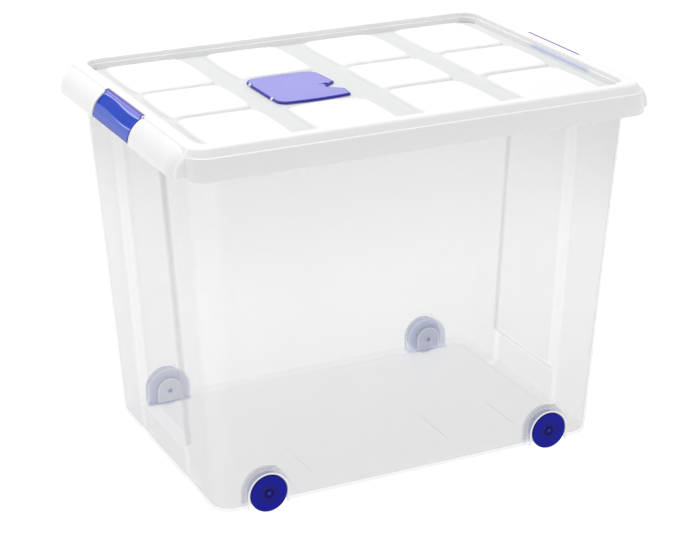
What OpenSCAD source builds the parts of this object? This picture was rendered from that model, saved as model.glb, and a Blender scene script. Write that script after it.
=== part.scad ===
// Wheeled storage box: a tall clear tub on four wheels with a quilted lid, two end clips and a hatch.
// Frame: millimetres, +Z up, origin on the floor under the middle of the box, +X along the long side.

/* [Tub] */
// Half length of the tub's base, outside
base_half_l = 253; // [245:1:256]
// Half width of the tub's base, outside
base_half_w = 167; // [160:1:170]
// Draft of each wall between the base and the flange
draft = 24; // [20:1:25]
// Height of the tub's underside above the floor
base_z = 6.5; // [5:0.5:9]
// Height of the flange's top face above the floor
flange_z = 447; // [440:1:448]
// Wall thickness of the tub
wall = 2.2; // [1.8:0.1:2.6]
// Radius of the tub's upright corners
corner_r = 24; // [20:1:30]
// Depth of the recessed panel in each end wall
recess_depth = 8; // [5:1:9]
// Half width of the recessed panel in each end wall
recess_half_w = 75; // [60:1:85]

/* [Wheels] */
// Wheel diameter
wheel_d = 47; // [44:1:48]
// Wheel width
wheel_w = 13; // [12:1:16]
// Distance of each axle from the middle of the box, along X
axle_x = 189; // [180:1:192]
// Diameter of the axle pins
axle_d = 6; // [5:0.5:7]
// Radial running clearance of a wheel on its pin
axle_play = 0.06; // [0.02:0.01:0.1]

/* [Lid] */
// Half length of the lid over the end lips
lid_half_l = 304; // [302:1:306]
// Half width of the lid at the bottom of its skirt
lid_half_w = 215.5; // [214:0.5:218]
// Height of the rim's top face above the floor
lid_top_z = 466; // [464:1:468]
// Height of the channel floor between the pillows
panel_z = 452.5; // [451:0.5:454]
// Height of the pillows above the channel floor
pillow_h = 4; // [3:0.5:5]
// Thickness of the lid
skin = 2; // [1.6:0.1:2.2]
// Radius of the quarter-round end lips
lip_r = 32; // [30:1:33]
// Half length of the end lips, along Y
lip_half_w = 185; // [175:1:190]

/* [Clips and hatch] */
// Half length of a clip, along Y
clip_half_w = 60; // [50:1:62]
// Thickness of a clip
clip_t = 2.5; // [2:0.1:3]
// Length of the hatch flap, along X
flap_l = 97; // [92:1:102]
// Width of the hatch flap, along Y
flap_w = 114; // [100:1:114]
// Thickness of the hatch flap
flap_t = 2; // [1.6:0.1:2.2]

/* [Hidden] */
eps = 0.05;
hull_fn = 32;
round_fn = 96;

wall_h = flange_z - base_z;
draft_angle = atan(draft / wall_h);
floor_t = 2.5;
flange_t = 2.5;
flange_half_l = base_half_l + draft + 6.5;
flange_half_w = base_half_w + draft + 16;
flange_lip = 9;
recess_low = 50;
recess_high = flange_z - 12;

wheel_r = wheel_d / 2;
axle_r = axle_d / 2;
wheel_face_y = 171;
wheel_back_y = wheel_face_y - wheel_w;
back_edge_r = 1.5;
face_edge_r = 3;
hub_r = 8;
tyre_t = 3.5;
disc_t = 3.5;
pocket_r = wheel_r + 3.5;
pocket_back_y = wheel_back_y - 1.5;
opening_r = wheel_r + 0.8;
collar_r = opening_r + 2.2;
collar_y = wheel_face_y - 0.5;
boss_r = 17;
boss_y = pocket_back_y - wall - 4.3;
spacer_r = 6;
head_r = 4.4;
head_t = 1.6;

skirt_z = 431;
shoulder_z = 456;
skirt_wall = skin + 0.4;
// Insets of the lid's outer shape from its half length, then from its half width
skirt_inset_l = 14;
shoulder_inset_l = 16;
top_inset_l = 20;
shoulder_inset_w = 3.5;
ledge_inset_w = 5.5;
top_inset_w = 11.5;
skirt_corner_r = 26;
rim_corner_r = 24;
well_corner_r = 20;
lip_cx = lid_half_l - lip_r;
lip_cz = lid_top_z - lip_r;
well_half_l = 268;
well_half_w = 190;
bay_half_w = clip_half_w + 1;
lug_t = 2.5;
clip_low_z = 435.5;
hinge_x = 284;
hinge_z = 463.4;
barrel_r = 2.4;
stub_r = 1.5;
stub_play = 0.06;
rib_l = 6.5;
rib_w = 16;
rib_h = 2.5;
rib_pitch = 38;

pillow_top_z = panel_z + pillow_h;
// Each column's and each row's low and high edge
columns = [[-252, -144], [-119.5, -14.5], [14.5, 119.5], [144, 252]];
rows = [[-184, -58], [-54, 54], [58, 184]];
hatch_column = 1;
hatch_row = 1;

flap_x = -68;
flap_top_z = 455.8;
flap_low_z = 452.9;
flap_bow = 4;
flap_corner_r = 20;
hole_x = flap_x - 6;
hole_half_l = 34;
hole_half_w = 48;
hole_corner_r = 8;
pivot_x = flap_x - flap_l / 2 + 1.8;
pivot_z = flap_top_z - 1.5;
pivot_r = 1.4;
pivot_pin_r = 1;
pivot_lug_r = 2.1;
pivot_half_w = 30;
pivot_lug_t = 4;

// Rounded rectangle of half sizes a and b, from exact squares and circles
module round_rect(a, b, r) {
    square([2 * (a - r), 2 * b], center = true);
    square([2 * a, 2 * (b - r)], center = true);
    for (sx = [-1, 1], sy = [-1, 1])
        translate([sx * (a - r), sy * (b - r)]) circle(r = r, $fn = hull_fn);
}

// Upright block with a rounded-rectangle plan between two heights
module block(a, b, r, low, high) {
    translate([0, 0, low]) linear_extrude(high - low) round_rect(a, b, r);
}

// Drafted block between two rounded rectangles
module drafted(a0, b0, z0, a1, b1, z1, r) {
    hull() {
        block(a0, b0, r, z0, z0 + eps);
        block(a1, b1, r, z1 - eps, z1);
    }
}

// Cylinder along Y between two distances from the middle plane
module rod_y(r, low, high) {
    translate([0, high, 0]) rotate([90, 0, 0]) cylinder(r = r, h = high - low, $fn = round_fn);
}

// Copies of a child at the four wheels; the child is drawn for the rear right wheel
module at_wheels() {
    for (sx = [0, 1], sy = [0, 1])
        mirror([sx, 0, 0]) mirror([0, sy, 0]) translate([axle_x, 0, wheel_r]) children();
}

// Block of an end wall's recess, parallel to the drafted wall, grown by a margin
module recess_block(margin) {
    for (side = [0, 1]) mirror([side, 0, 0])
        translate([base_half_l, 0, base_z]) rotate([0, draft_angle, 0])
            translate([-recess_depth - margin, -recess_half_w - margin, recess_low - margin])
                cube([recess_depth + 40, 2 * (recess_half_w + margin), recess_high - recess_low + 2 * margin]);
}

// Arch about a wheel's axle between two distances from the middle plane, open below to a height
module arch(r, low_y, high_y, foot_z) {
    rod_y(r, low_y, high_y);
    translate([-r, low_y, foot_z - wheel_r]) cube([2 * r, high_y - low_y, wheel_r - foot_z]);
}

// Hollow round one wheel: a pocket behind the wall, an opening through the wall and a hollow boss
module wheel_space() {
    outside = wheel_face_y + 20;
    inside_wall = base_half_w - wall - 0.5;
    difference() {
        union() {
            arch(pocket_r, pocket_back_y, inside_wall, -10);
            arch(opening_r, pocket_back_y, outside, -10);
            arch(boss_r - wall, boss_y + wall, pocket_back_y + 1, -10);
        }
        rod_y(spacer_r, boss_y, wheel_back_y - 0.5);
    }
    rod_y(axle_r, boss_y - 1, wheel_back_y);
}

module tub() {
    color([0.90, 0.91, 0.93, 0.45])
    difference() {
        union() {
            difference() {
                drafted(base_half_l, base_half_w, base_z,
                        base_half_l + draft, base_half_w + draft, flange_z, corner_r);
                recess_block(0);
                // The inside, which keeps a wall round each recess and each wheel
                difference() {
                    drafted(base_half_l - wall, base_half_w - wall, base_z + floor_t,
                            base_half_l + draft - wall, base_half_w + draft - wall, flange_z + 1,
                            corner_r - wall);
                    recess_block(wall);
                    at_wheels() {
                        arch(pocket_r + wall, pocket_back_y - wall, wheel_face_y, 0);
                        arch(boss_r, boss_y, pocket_back_y, 0);
                    }
                }
            }
            flange();
            at_wheels() arch(collar_r, base_half_w - 1, collar_y, base_z);
        }
        at_wheels() wheel_space();
    }
}

// Flat flange round the tub's mouth with a lip turned down at its edge
module flange() {
    inner_l = base_half_l + draft - wall;
    inner_w = base_half_w + draft - wall;
    difference() {
        block(flange_half_l, flange_half_w, corner_r + 6, flange_z - flange_lip, flange_z);
        block(inner_l + wall / 2, inner_w + wall / 2, corner_r - wall, flange_z - 20, flange_z + 1);
        difference() {
            block(flange_half_l - wall, flange_half_w - wall, corner_r + 4,
                  flange_z - flange_lip - 1, flange_z - flange_t);
            block(inner_l, inner_w, corner_r - wall, flange_z - 20, flange_z);
        }
    }
}

// One quilted cell of the panel: a raised pillow, hollow below
module pillow(column, row, low, high, inset) {
    x0 = columns[column][0] + inset;
    x1 = columns[column][1] - inset;
    y0 = rows[row][0] + inset;
    y1 = rows[row][1] - inset;
    translate([(x0 + x1) / 2, (y0 + y1) / 2, 0])
        block((x1 - x0) / 2, (y1 - y0) / 2, 9 - inset, low, high);
}

module each_pillow(low, high, inset) {
    for (column = [0 : len(columns) - 1], row = [0 : len(rows) - 1])
        if (column != hatch_column || row != hatch_row) pillow(column, row, low, high, inset);
}

// Quarter-round bar of an end lip between two distances along Y, on the right-hand end
module lip_bar(r, y0, y1) {
    intersection() {
        translate([lip_cx, 0, lip_cz]) rod_y(r, y0, y1);
        translate([lip_cx - 10, y0 - 1, lip_cz]) cube([r + 20, y1 - y0 + 2, r + 1]);
    }
}

// Hollow below an end lip, open downwards
module lip_hollow(y0, y1) {
    lip_bar(lip_r - clip_t, y0, y1);
    translate([lip_cx, y0, skirt_z - 5]) cube([lip_r - clip_t, y1 - y0, lip_cz - skirt_z + 5 + eps]);
}

// Outer shape of the skirt and of the rim above its shoulder, moved in by a margin
module skirt_and_rim(margin, low) {
    drafted(lid_half_l - skirt_inset_l - margin, lid_half_w - margin, skirt_z - low,
            lid_half_l - shoulder_inset_l - margin, lid_half_w - shoulder_inset_w - margin,
            shoulder_z - margin, skirt_corner_r - margin);
    drafted(lid_half_l - shoulder_inset_l - margin, lid_half_w - ledge_inset_w - margin,
            shoulder_z - margin - low,
            lid_half_l - top_inset_l - margin, lid_half_w - top_inset_w - margin,
            lid_top_z - margin, rim_corner_r - margin);
}

// Rim, skirt and end lips: one bent skin round the panel
module rim() {
    below = skirt_z - 10;
    difference() {
        union() {
            skirt_and_rim(0, 0);
            for (end = [0, 1]) mirror([end, 0, 0]) lip_bar(lip_r, -lip_half_w, lip_half_w);
        }
        difference() {
            union() {
                skirt_and_rim(skirt_wall, 1);
                for (end = [0, 1], side = [0, 1]) mirror([end, 0, 0]) mirror([0, side, 0])
                    lip_hollow(bay_half_w + lug_t, lip_half_w - lug_t);
            }
            block(well_half_l + skin, well_half_w + skin, well_corner_r + skin, below, lid_top_z + 1);
        }
        block(well_half_l, well_half_w, well_corner_r, panel_z, lid_top_z + 1);
        block(well_half_l, well_half_w, well_corner_r, below, panel_z - skin);
        // Everything below the tub's flange is open, except the skin at the outside
        block(well_half_l + skin + 1, well_half_w + skin + 1, well_corner_r, below, flange_z);
        for (end = [0, 1]) mirror([end, 0, 0])
            translate([hinge_x - barrel_r - 0.4, -bay_half_w, below])
                cube([40, 2 * bay_half_w, 60]);
    }
}

// Ears at both ends of each clip's hinge
module clip_lugs() {
    for (end = [0, 1], side = [0, 1]) mirror([end, 0, 0]) mirror([0, side, 0])
        intersection() {
            lip_bar(lip_r, bay_half_w, bay_half_w + lug_t);
            translate([hinge_x - 8, 0, hinge_z - 11]) cube([16, 200, 20]);
        }
    for (end = [0, 1], side = [0, 1]) mirror([end, 0, 0]) mirror([0, side, 0])
        translate([hinge_x, 0, hinge_z]) rod_y(barrel_r, bay_half_w, bay_half_w + lug_t);
}

// Two ears that carry the hatch flap's pivot pins
module hatch_lugs() {
    for (side = [0, 1]) mirror([0, side, 0])
        translate([pivot_x, 0, 0]) {
            translate([-pivot_lug_r, pivot_half_w + 0.5, panel_z - eps])
                cube([2 * pivot_lug_r, pivot_lug_t, pivot_z - panel_z + eps]);
            translate([0, 0, pivot_z]) rod_y(pivot_lug_r, pivot_half_w + 0.5, pivot_half_w + 0.5 + pivot_lug_t);
        }
}

module lid() {
    color([0.97, 0.98, 0.99, 0.9])
    difference() {
        union() {
            rim();
            each_pillow(panel_z - skin + eps, pillow_top_z, 0);
            clip_lugs();
            hatch_lugs();
        }
        each_pillow(panel_z - skin - 1, pillow_top_z - skin, skin);
        hatch_hole();
        for (end = [0, 1]) mirror([end, 0, 0])
            translate([hinge_x, 0, hinge_z]) rod_y(stub_r + stub_play, -bay_half_w - lug_t, bay_half_w + lug_t);
        for (side = [0, 1]) mirror([0, side, 0])
            translate([pivot_x, 0, pivot_z]) rod_y(pivot_pin_r + stub_play, pivot_half_w - 5, pivot_half_w + 10);
    }
}

// Opening in the panel below the flap
module hatch_hole() {
    translate([hole_x, 0, 0])
        block(hole_half_l, hole_half_w, hole_corner_r, panel_z - skin - 1, panel_z + 1);
}

// Clip at the right-hand end: a curved plate hung from a barrel with two stub pins
module clip() {
    difference() {
        lip_bar(lip_r, -clip_half_w, clip_half_w);
        translate([lip_cx, 0, lip_cz]) rod_y(lip_r - clip_t, -clip_half_w - 1, clip_half_w + 1);
        translate([lip_cx - 20, -clip_half_w - 1, lip_cz - 2]) cube([hinge_x - lip_cx + 20, 300, 50]);
        translate([lip_cx, -clip_half_w - 1, lip_cz - 1])
            cube([lip_r + 10, 2 * clip_half_w + 2, clip_low_z - lip_cz + 1]);
    }
    translate([hinge_x, 0, hinge_z]) {
        rod_y(barrel_r, -clip_half_w, clip_half_w);
        rod_y(stub_r, -clip_half_w - 3, clip_half_w + 3);
    }
    // Catch ribs behind the lower edge
    for (y = [-rib_pitch, 0, rib_pitch])
        translate([lid_half_l - clip_t - rib_l + eps, y - rib_w / 2, clip_low_z + 1])
            cube([rib_l, rib_w, rib_h]);
}

module clip_right() {
    color([0.25, 0.32, 0.80]) clip();
}

module clip_left() {
    color([0.25, 0.32, 0.80]) mirror([1, 0, 0]) clip();
}

// Outline of the flap: four bowed sides, then rounded corners and a finger notch
module flap_outline(inset) {
    half_l = flap_l / 2 - inset;
    half_w = flap_w / 2 - inset;
    bow_l = (pow(half_w, 2) + pow(flap_bow, 2)) / (2 * flap_bow);
    bow_w = (pow(half_l, 2) + pow(flap_bow, 2)) / (2 * flap_bow);
    difference() {
        intersection() {
            round_rect(half_l, half_w, flap_corner_r);
            translate([half_l - bow_l, 0]) circle(r = bow_l, $fn = 360);
            translate([0, half_w - bow_w]) circle(r = bow_w, $fn = 360);
            translate([0, bow_w - half_w]) circle(r = bow_w, $fn = 360);
        }
        finger_notch(inset);
    }
}

// Finger notch in the flap's free edge: a funnel with a rounded end and a small round hollow above it
module finger_notch(inset) {
    hull() {
        translate([36.5, -14]) circle(r = 5 + inset, $fn = hull_fn);
        for (y = [4, -32]) translate([flap_l / 2 + 4, y]) circle(r = 1 + inset, $fn = hull_fn);
    }
    translate([35.2, -4]) circle(r = 3.6 + inset, $fn = hull_fn);
}

module hatch_flap() {
    color([0.50, 0.50, 0.88])
    difference() {
        translate([flap_x, 0, 0]) difference() {
            translate([0, 0, flap_low_z]) linear_extrude(flap_top_z - flap_low_z) flap_outline(0);
            translate([0, 0, flap_low_z - 1])
                linear_extrude(flap_top_z - flap_t - flap_low_z + 1) flap_outline(2);
        }
        // Room for the ears and for the turn about the pivot
        for (side = [0, 1]) mirror([0, side, 0])
            translate([pivot_x - 10, pivot_half_w, flap_low_z - 1])
                cube([10 + pivot_lug_r + 0.6, pivot_lug_t + 1, 10]);
        translate([pivot_x - 10, -flap_w, flap_low_z - 1]) cube([10, 2 * flap_w, 10]);
    }
    color([0.50, 0.50, 0.88]) translate([pivot_x, 0, pivot_z]) {
        rod_y(pivot_r, -pivot_half_w, pivot_half_w);
        rod_y(pivot_pin_r, -pivot_half_w - 4, pivot_half_w + 4);
    }
}

// Wheel about its own axle: a domed disc, a tyre band and a hub, hollow behind
module wheel_solid() {
    rotate([-90, 0, 0]) difference() {
        rotate_extrude($fn = round_fn) difference() {
            union() {
                translate([0, wheel_back_y]) square([wheel_r - back_edge_r, wheel_w - 1]);
                translate([0, wheel_back_y + back_edge_r])
                    square([wheel_r, wheel_w - back_edge_r - face_edge_r]);
                translate([wheel_r - back_edge_r, wheel_back_y + back_edge_r])
                    circle(r = back_edge_r, $fn = hull_fn);
                translate([wheel_r - face_edge_r, wheel_face_y - face_edge_r])
                    circle(r = face_edge_r, $fn = hull_fn);
                translate([0, wheel_face_y - face_edge_r]) square([wheel_r - face_edge_r, face_edge_r]);
            }
            translate([hub_r, wheel_back_y - 1])
                square([wheel_r - hub_r - tyre_t, wheel_w - disc_t + 1]);
            translate([0, wheel_face_y - head_t - 0.4]) square([head_r + 0.3, 10]);
        }
        translate([0, 0, wheel_back_y - 1]) cylinder(r = axle_r + axle_play, h = wheel_w + 2, $fn = round_fn);
    }
}

// Axle pin: a plain shank pressed into the tub's boss, with a head in the wheel's face
module axle_solid() {
    rod_y(axle_r, boss_y + 0.5, wheel_face_y - head_t);
    rod_y(head_r, wheel_face_y - head_t, wheel_face_y - 0.2);
}

module wheel_at(side_x, side_y) {
    color([0.13, 0.13, 0.55])
        mirror([side_x, 0, 0]) mirror([0, side_y, 0]) translate([axle_x, 0, wheel_r]) wheel_solid();
}

module axle_at(side_x, side_y) {
    color([0.80, 0.82, 0.90])
        mirror([side_x, 0, 0]) mirror([0, side_y, 0]) translate([axle_x, 0, wheel_r]) axle_solid();
}

tub();
lid();
clip_left();
clip_right();
hatch_flap();
wheel_at(1, 1);  // wheel_front_left
wheel_at(0, 1);  // wheel_front_right
wheel_at(1, 0);  // wheel_rear_left
wheel_at(0, 0);  // wheel_rear_right
axle_at(1, 1);  // axle_front_left
axle_at(0, 1);  // axle_front_right
axle_at(1, 0);  // axle_rear_left
axle_at(0, 0);  // axle_rear_right
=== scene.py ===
"""Wheeled storage box: a clear tub on four wheels, a quilted milky lid, two end clips and a hatch flap.

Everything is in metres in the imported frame. The origin is on the floor under the middle of the box, +X runs
along the long side, the front is -Y and +Z is up. Each moulding is a surface worked out with numpy, and each
finish is a node material that reads object coordinates.
"""
import logging
import math
from dataclasses import dataclass, field
from enum import Enum

import bmesh
import bpy
import numpy as np
from mathutils import Matrix, Vector


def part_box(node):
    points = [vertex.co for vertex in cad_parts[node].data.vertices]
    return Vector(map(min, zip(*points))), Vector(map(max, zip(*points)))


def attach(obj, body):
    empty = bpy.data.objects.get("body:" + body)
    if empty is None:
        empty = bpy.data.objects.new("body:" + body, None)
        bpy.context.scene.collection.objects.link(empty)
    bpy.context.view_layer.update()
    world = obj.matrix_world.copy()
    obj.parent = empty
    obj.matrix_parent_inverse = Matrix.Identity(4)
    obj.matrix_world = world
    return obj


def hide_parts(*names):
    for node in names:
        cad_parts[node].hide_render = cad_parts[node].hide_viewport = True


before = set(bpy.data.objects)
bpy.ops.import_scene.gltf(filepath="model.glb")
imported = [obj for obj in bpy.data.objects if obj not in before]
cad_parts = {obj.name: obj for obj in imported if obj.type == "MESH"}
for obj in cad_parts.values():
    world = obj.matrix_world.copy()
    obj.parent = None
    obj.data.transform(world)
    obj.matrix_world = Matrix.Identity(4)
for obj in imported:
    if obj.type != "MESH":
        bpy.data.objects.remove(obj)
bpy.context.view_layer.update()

LOG = logging.getLogger("box")
FRAME_WIDTH = 699
SENSOR_MM = 36.0
SHARP_ANGLE = math.radians(32)

Array = np.ndarray
Colour = tuple[float, float, float, float]
Span = tuple[float, float]


class Cut(Enum):
    """How a tool solid changes the solid that it meets."""

    ADD = "UNION"
    REMOVE = "DIFFERENCE"
    KEEP_COMMON = "INTERSECT"


# ---------------------------------------------------------------- surfaces


def smooth_step(x: Array, low: float, high: float) -> Array:
    """Rises from 0 at low to 1 at high along 3t^2 - 2t^3.

    Args:
        x: Values to map.
        low: Where the rise starts.
        high: Where it ends.

    Returns:
        The mapped values.
    """
    t = np.clip((x - low) / (high - low), 0.0, 1.0)
    return t * t * (3.0 - 2.0 * t)


def bump(x: Array, low: float, high: float, edge: float) -> Array:
    """1 between low and high, falling smoothly to 0 over edge outside them.

    Args:
        x: Values to map.
        low: Start of the flat top.
        high: End of the flat top.
        edge: Width of each flank.

    Returns:
        The mapped values.
    """
    return smooth_step(x, low - edge, low) * (1.0 - smooth_step(x, high, high + edge))


def soften(corners: list[tuple[float, ...]], softness: list[float], steps: int = 4) -> Array:
    """Rounds the corners of an open path in any number of dimensions.

    Each corner P is replaced by the curve (1-t)^2 A + 2t(1-t) P + t^2 B, where A and B lie on the two
    legs at the corner's softness from P, or at 45% of the leg where that is shorter.

    Args:
        corners: The path's corners.
        softness: How far from each corner its curve starts, 0 to keep it sharp.
        steps: Stretches in each curve.

    Returns:
        The points of the path.
    """
    path = np.array(corners, float)
    found = [path[:1]]
    t = np.linspace(0.0, 1.0, steps + 1)[:, None]
    for before, here, after, reach in zip(path[:-2], path[1:-1], path[2:], softness[1:-1]):
        if reach <= 0:
            found.append(here[None])
            continue
        back, ahead = before - here, after - here
        a = here + back * min(reach / np.linalg.norm(back), 0.45)
        b = here + ahead * min(reach / np.linalg.norm(ahead), 0.45)
        found.append((1 - t) ** 2 * a + 2 * t * (1 - t) * here + t**2 * b)
    found.append(path[-1:])
    return np.concatenate(found)


def divided(path: Array, column: int, levels: Array) -> Array:
    """Adds points where one coordinate of a path crosses given levels, by straight interpolation.

    Args:
        path: Points of the path, one row each.
        column: The coordinate that is compared.
        levels: Values at which a point is wanted.

    Returns:
        The path with the extra points.
    """
    pieces = [path[:1]]
    for a, b in zip(path[:-1], path[1:]):
        low, high = sorted((a[column], b[column]))
        inside = levels[(levels > low + 1e-5) & (levels < high - 1e-5)]
        if a[column] > b[column]:
            inside = inside[::-1]
        if len(inside):
            t = ((inside - a[column]) / (b[column] - a[column]))[:, None]
            pieces.append(a + t * (b - a))
        pieces.append(b[None])
    return np.concatenate(pieces)


@dataclass(frozen=True)
class RingPlan:
    """Stations round a rounded rectangle, the same for every ring of a loft.

    A station's place is x = ax + bx (half length - r) + cx r, and the same for y, so that a station may
    keep its distance from the middle while the rectangle grows.
    """

    corner_steps: int = 12
    end_fixed: tuple[float, ...] = ()
    end_loose: int = 3
    side_loose: int = 12

    def _side(self, fixed: tuple[float, ...], loose: int) -> Array:
        """Coefficients (a, b) of the stations along one straight side, from its low to its high end."""
        if fixed:
            edge = fixed[-1]
            q = np.linspace(0, 1, loose + 1)[1:]
            high = np.stack([edge * (1 - q), q], 1)
            middle = np.stack([np.array(fixed), np.zeros(len(fixed))], 1)
            return np.concatenate([-high[::-1], middle, high])
        q = np.linspace(-1, 1, loose + 1)
        return np.stack([np.zeros(len(q)), q], 1)

    def rings(self, spec: Array) -> Array:
        """Points of the rings.

        Args:
            spec: One row for each ring: half length, half width, corner radius and height.

        Returns:
            Array of rings x stations x 3.
        """
        turn = np.linspace(0, math.pi / 2, self.corner_steps + 1)[1:-1]
        end, side = self._side(self.end_fixed, self.end_loose), self._side((), self.side_loose)
        one = np.ones
        rows = []
        for quarter in range(2):
            s = 1 - 2 * quarter
            rows.append(np.stack([0 * end[:, 0], s * one(len(end)), s * one(len(end)),
                                  s * end[:, 0], s * end[:, 1], 0 * end[:, 0]], 1))
            rows.append(np.stack([0 * turn, s * one(len(turn)), s * np.cos(turn),
                                  0 * turn, s * one(len(turn)), s * np.sin(turn)], 1))
            rows.append(np.stack([0 * side[:, 0], -s * side[:, 1], 0 * side[:, 0],
                                  0 * side[:, 0], s * one(len(side)), s * one(len(side))], 1))
            rows.append(np.stack([0 * turn, -s * one(len(turn)), -s * np.sin(turn),
                                  0 * turn, s * one(len(turn)), s * np.cos(turn)], 1))
        k = np.concatenate(rows)
        hx, hy, r, z = (spec[:, i : i + 1] for i in range(4))
        x = k[:, 0] + k[:, 1] * (hx - r) + k[:, 2] * r
        y = k[:, 3] + k[:, 4] * (hy - r) + k[:, 5] * r
        return np.stack([x, y, np.broadcast_to(z, x.shape)], 2)


def grid_quads(rows: int, columns: int, wrap_rows: bool, wrap_columns: bool) -> Array:
    """Four corner indices for each cell of a grid of points.

    Args:
        rows: Rows of points.
        columns: Columns of points.
        wrap_rows: True if the last row joins the first.
        wrap_columns: True if the last column joins the first.

    Returns:
        Array of cells x 4.
    """
    i, j = np.meshgrid(np.arange(rows if wrap_rows else rows - 1),
                       np.arange(columns if wrap_columns else columns - 1), indexing="ij")
    i2, j2 = (i + 1) % rows, (j + 1) % columns
    cells = np.stack([i * columns + j, i * columns + j2, i2 * columns + j2, i2 * columns + j], -1)
    return cells.reshape(-1, 4)


def make_piece(name: str, points: Array, faces: list[list[int]]) -> bpy.types.Object:
    """A closed mesh object whose faces are merged at doubles and point outwards.

    Args:
        name: The object's name.
        points: Vertices, one row each.
        faces: Corner indices of each face.

    Returns:
        The object, at the origin and linked to the scene.
    """
    mesh = bpy.data.meshes.new(name)
    mesh.from_pydata(points.tolist(), [], faces)
    work = bmesh.new()
    work.from_mesh(mesh)
    bmesh.ops.remove_doubles(work, verts=work.verts, dist=1e-6)
    bmesh.ops.recalc_face_normals(work, faces=work.faces)
    work.to_mesh(mesh)
    work.free()
    piece = bpy.data.objects.new(name, mesh)
    bpy.context.scene.collection.objects.link(piece)
    return piece


def loft(name: str, rings: Array, closed: bool = False) -> bpy.types.Object:
    """A solid skinned over rings of points.

    Args:
        name: The object's name.
        rings: Array of rings x stations x 3.
        closed: True if the last ring joins the first, else both ends are capped.

    Returns:
        The object.
    """
    count, stations = rings.shape[:2]
    faces = grid_quads(count, stations, closed, True).tolist()
    if not closed:
        faces += [list(range(stations)), list(range((count - 1) * stations, count * stations))]
    return make_piece(name, rings.reshape(-1, 3), faces)


def sheet_solid(name: str, top: Array, bottom: Array) -> bpy.types.Object:
    """A solid between two grids of points of the same shape, closed round its edge.

    Args:
        name: The object's name.
        top: Array of rows x columns x 3.
        bottom: The other face, in the same order.

    Returns:
        The object.
    """
    rows, columns = top.shape[:2]
    count = rows * columns
    cells = grid_quads(rows, columns, False, False)
    index = np.arange(count).reshape(rows, columns)
    edge = np.concatenate([index[0, :-1], index[:-1, -1], index[-1, :0:-1], index[:0:-1, 0]])
    ahead = np.roll(edge, -1)
    band = np.stack([edge, ahead, ahead + count, edge + count], 1)
    faces = np.concatenate([cells, cells[:, ::-1] + count, band])
    return make_piece(name, np.concatenate([top.reshape(-1, 3), bottom.reshape(-1, 3)]), faces.tolist())


def turned(name: str, profile: Array, centre: Vector, side: float, steps: int = 72) -> bpy.types.Object:
    """A solid turned about a line along Y.

    Args:
        name: The object's name.
        profile: Closed outline, one row each: radius, and distance from the box's middle plane.
        centre: A point on the line.
        side: -1 for the front of the box, 1 for the rear.
        steps: Stations round the turn.

    Returns:
        The object.
    """
    angle = np.linspace(0, 2 * math.pi, steps, endpoint=False)
    r, y = profile[:, :1], profile[:, 1:]
    rings = np.stack([centre.x + r * np.cos(angle), side * y + 0 * angle, centre.z + r * np.sin(angle)], 2)
    return loft(name, rings, closed=True)


def prism(name: str, outline: Array, low: Array, high: Array, edge: float = 0.0) -> bpy.types.Object:
    """A solid along Y over an outline in X and Z.

    Args:
        name: The object's name.
        outline: Corners, one row each: x and z.
        low: The y of the first face at each corner.
        high: The y of the last face at each corner.
        edge: Width of a bevel round the first face.

    Returns:
        The object.
    """
    low, high = np.broadcast_to(low, len(outline)), np.broadcast_to(high, len(outline))
    middle = outline.mean(0)
    reach = np.linalg.norm(outline - middle, axis=1)[:, None]
    small = outline - (outline - middle) / reach * edge
    towards = np.sign(high - low) * edge
    rows = [np.stack([outline[:, 0], low + towards, outline[:, 1]], 1),
            np.stack([outline[:, 0], high, outline[:, 1]], 1)]
    if edge > 0:
        rows.insert(0, np.stack([small[:, 0], low, small[:, 1]], 1))
    return loft(name, np.stack(rows))


def combine(piece: bpy.types.Object, tools: list[bpy.types.Object], how: Cut) -> None:
    """Adds, removes or intersects tool solids, and deletes them.

    Args:
        piece: The solid that changes.
        tools: The solids that it meets, one after the other.
        how: What each tool does.
    """
    for tool in tools:
        step = piece.modifiers.new("combine", "BOOLEAN")
        step.operation, step.solver, step.object = how.value, "MANIFOLD", tool
        graph = bpy.context.evaluated_depsgraph_get()
        mesh = bpy.data.meshes.new_from_object(piece.evaluated_get(graph))
        piece.modifiers.clear()
        piece.data = mesh
        bpy.data.objects.remove(tool)


def box_solid(name: str, low: tuple[float, ...], high: tuple[float, ...]) -> bpy.types.Object:
    """An upright block between two corners, as a tool for combine."""
    outline = np.array([[low[0], low[2]], [high[0], low[2]], [high[0], high[2]], [low[0], high[2]]])
    return prism(name, outline, np.array(low[1]), np.array(high[1]))


def smooth(piece: bpy.types.Object, angle: float = SHARP_ANGLE) -> None:
    """Smooth shading with sharp edges past an angle.

    Args:
        piece: The object.
        angle: The angle between two faces from which their edge is sharp.
    """
    mesh = piece.data
    mesh.polygons.foreach_set("use_smooth", np.ones(len(mesh.polygons), bool))
    mesh.set_sharp_from_angle(angle=angle)
    mesh.update()


def paint(piece: bpy.types.Object, name: str, values: Array) -> None:
    """Stores one number for each vertex, which a finish can read.

    Args:
        piece: The object.
        name: The attribute's name.
        values: The numbers, in the order of the vertices.
    """
    layer = piece.data.attributes.new(name, "FLOAT", "POINT")
    layer.data.foreach_set("value", np.ascontiguousarray(values, dtype=np.float32))


def vertices(piece: bpy.types.Object) -> Array:
    """Places of an object's vertices, one row each."""
    found = np.empty(len(piece.data.vertices) * 3, np.float32)
    piece.data.vertices.foreach_get("co", found)
    return found.reshape(-1, 3)


# ---------------------------------------------------------------- finishes


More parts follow.
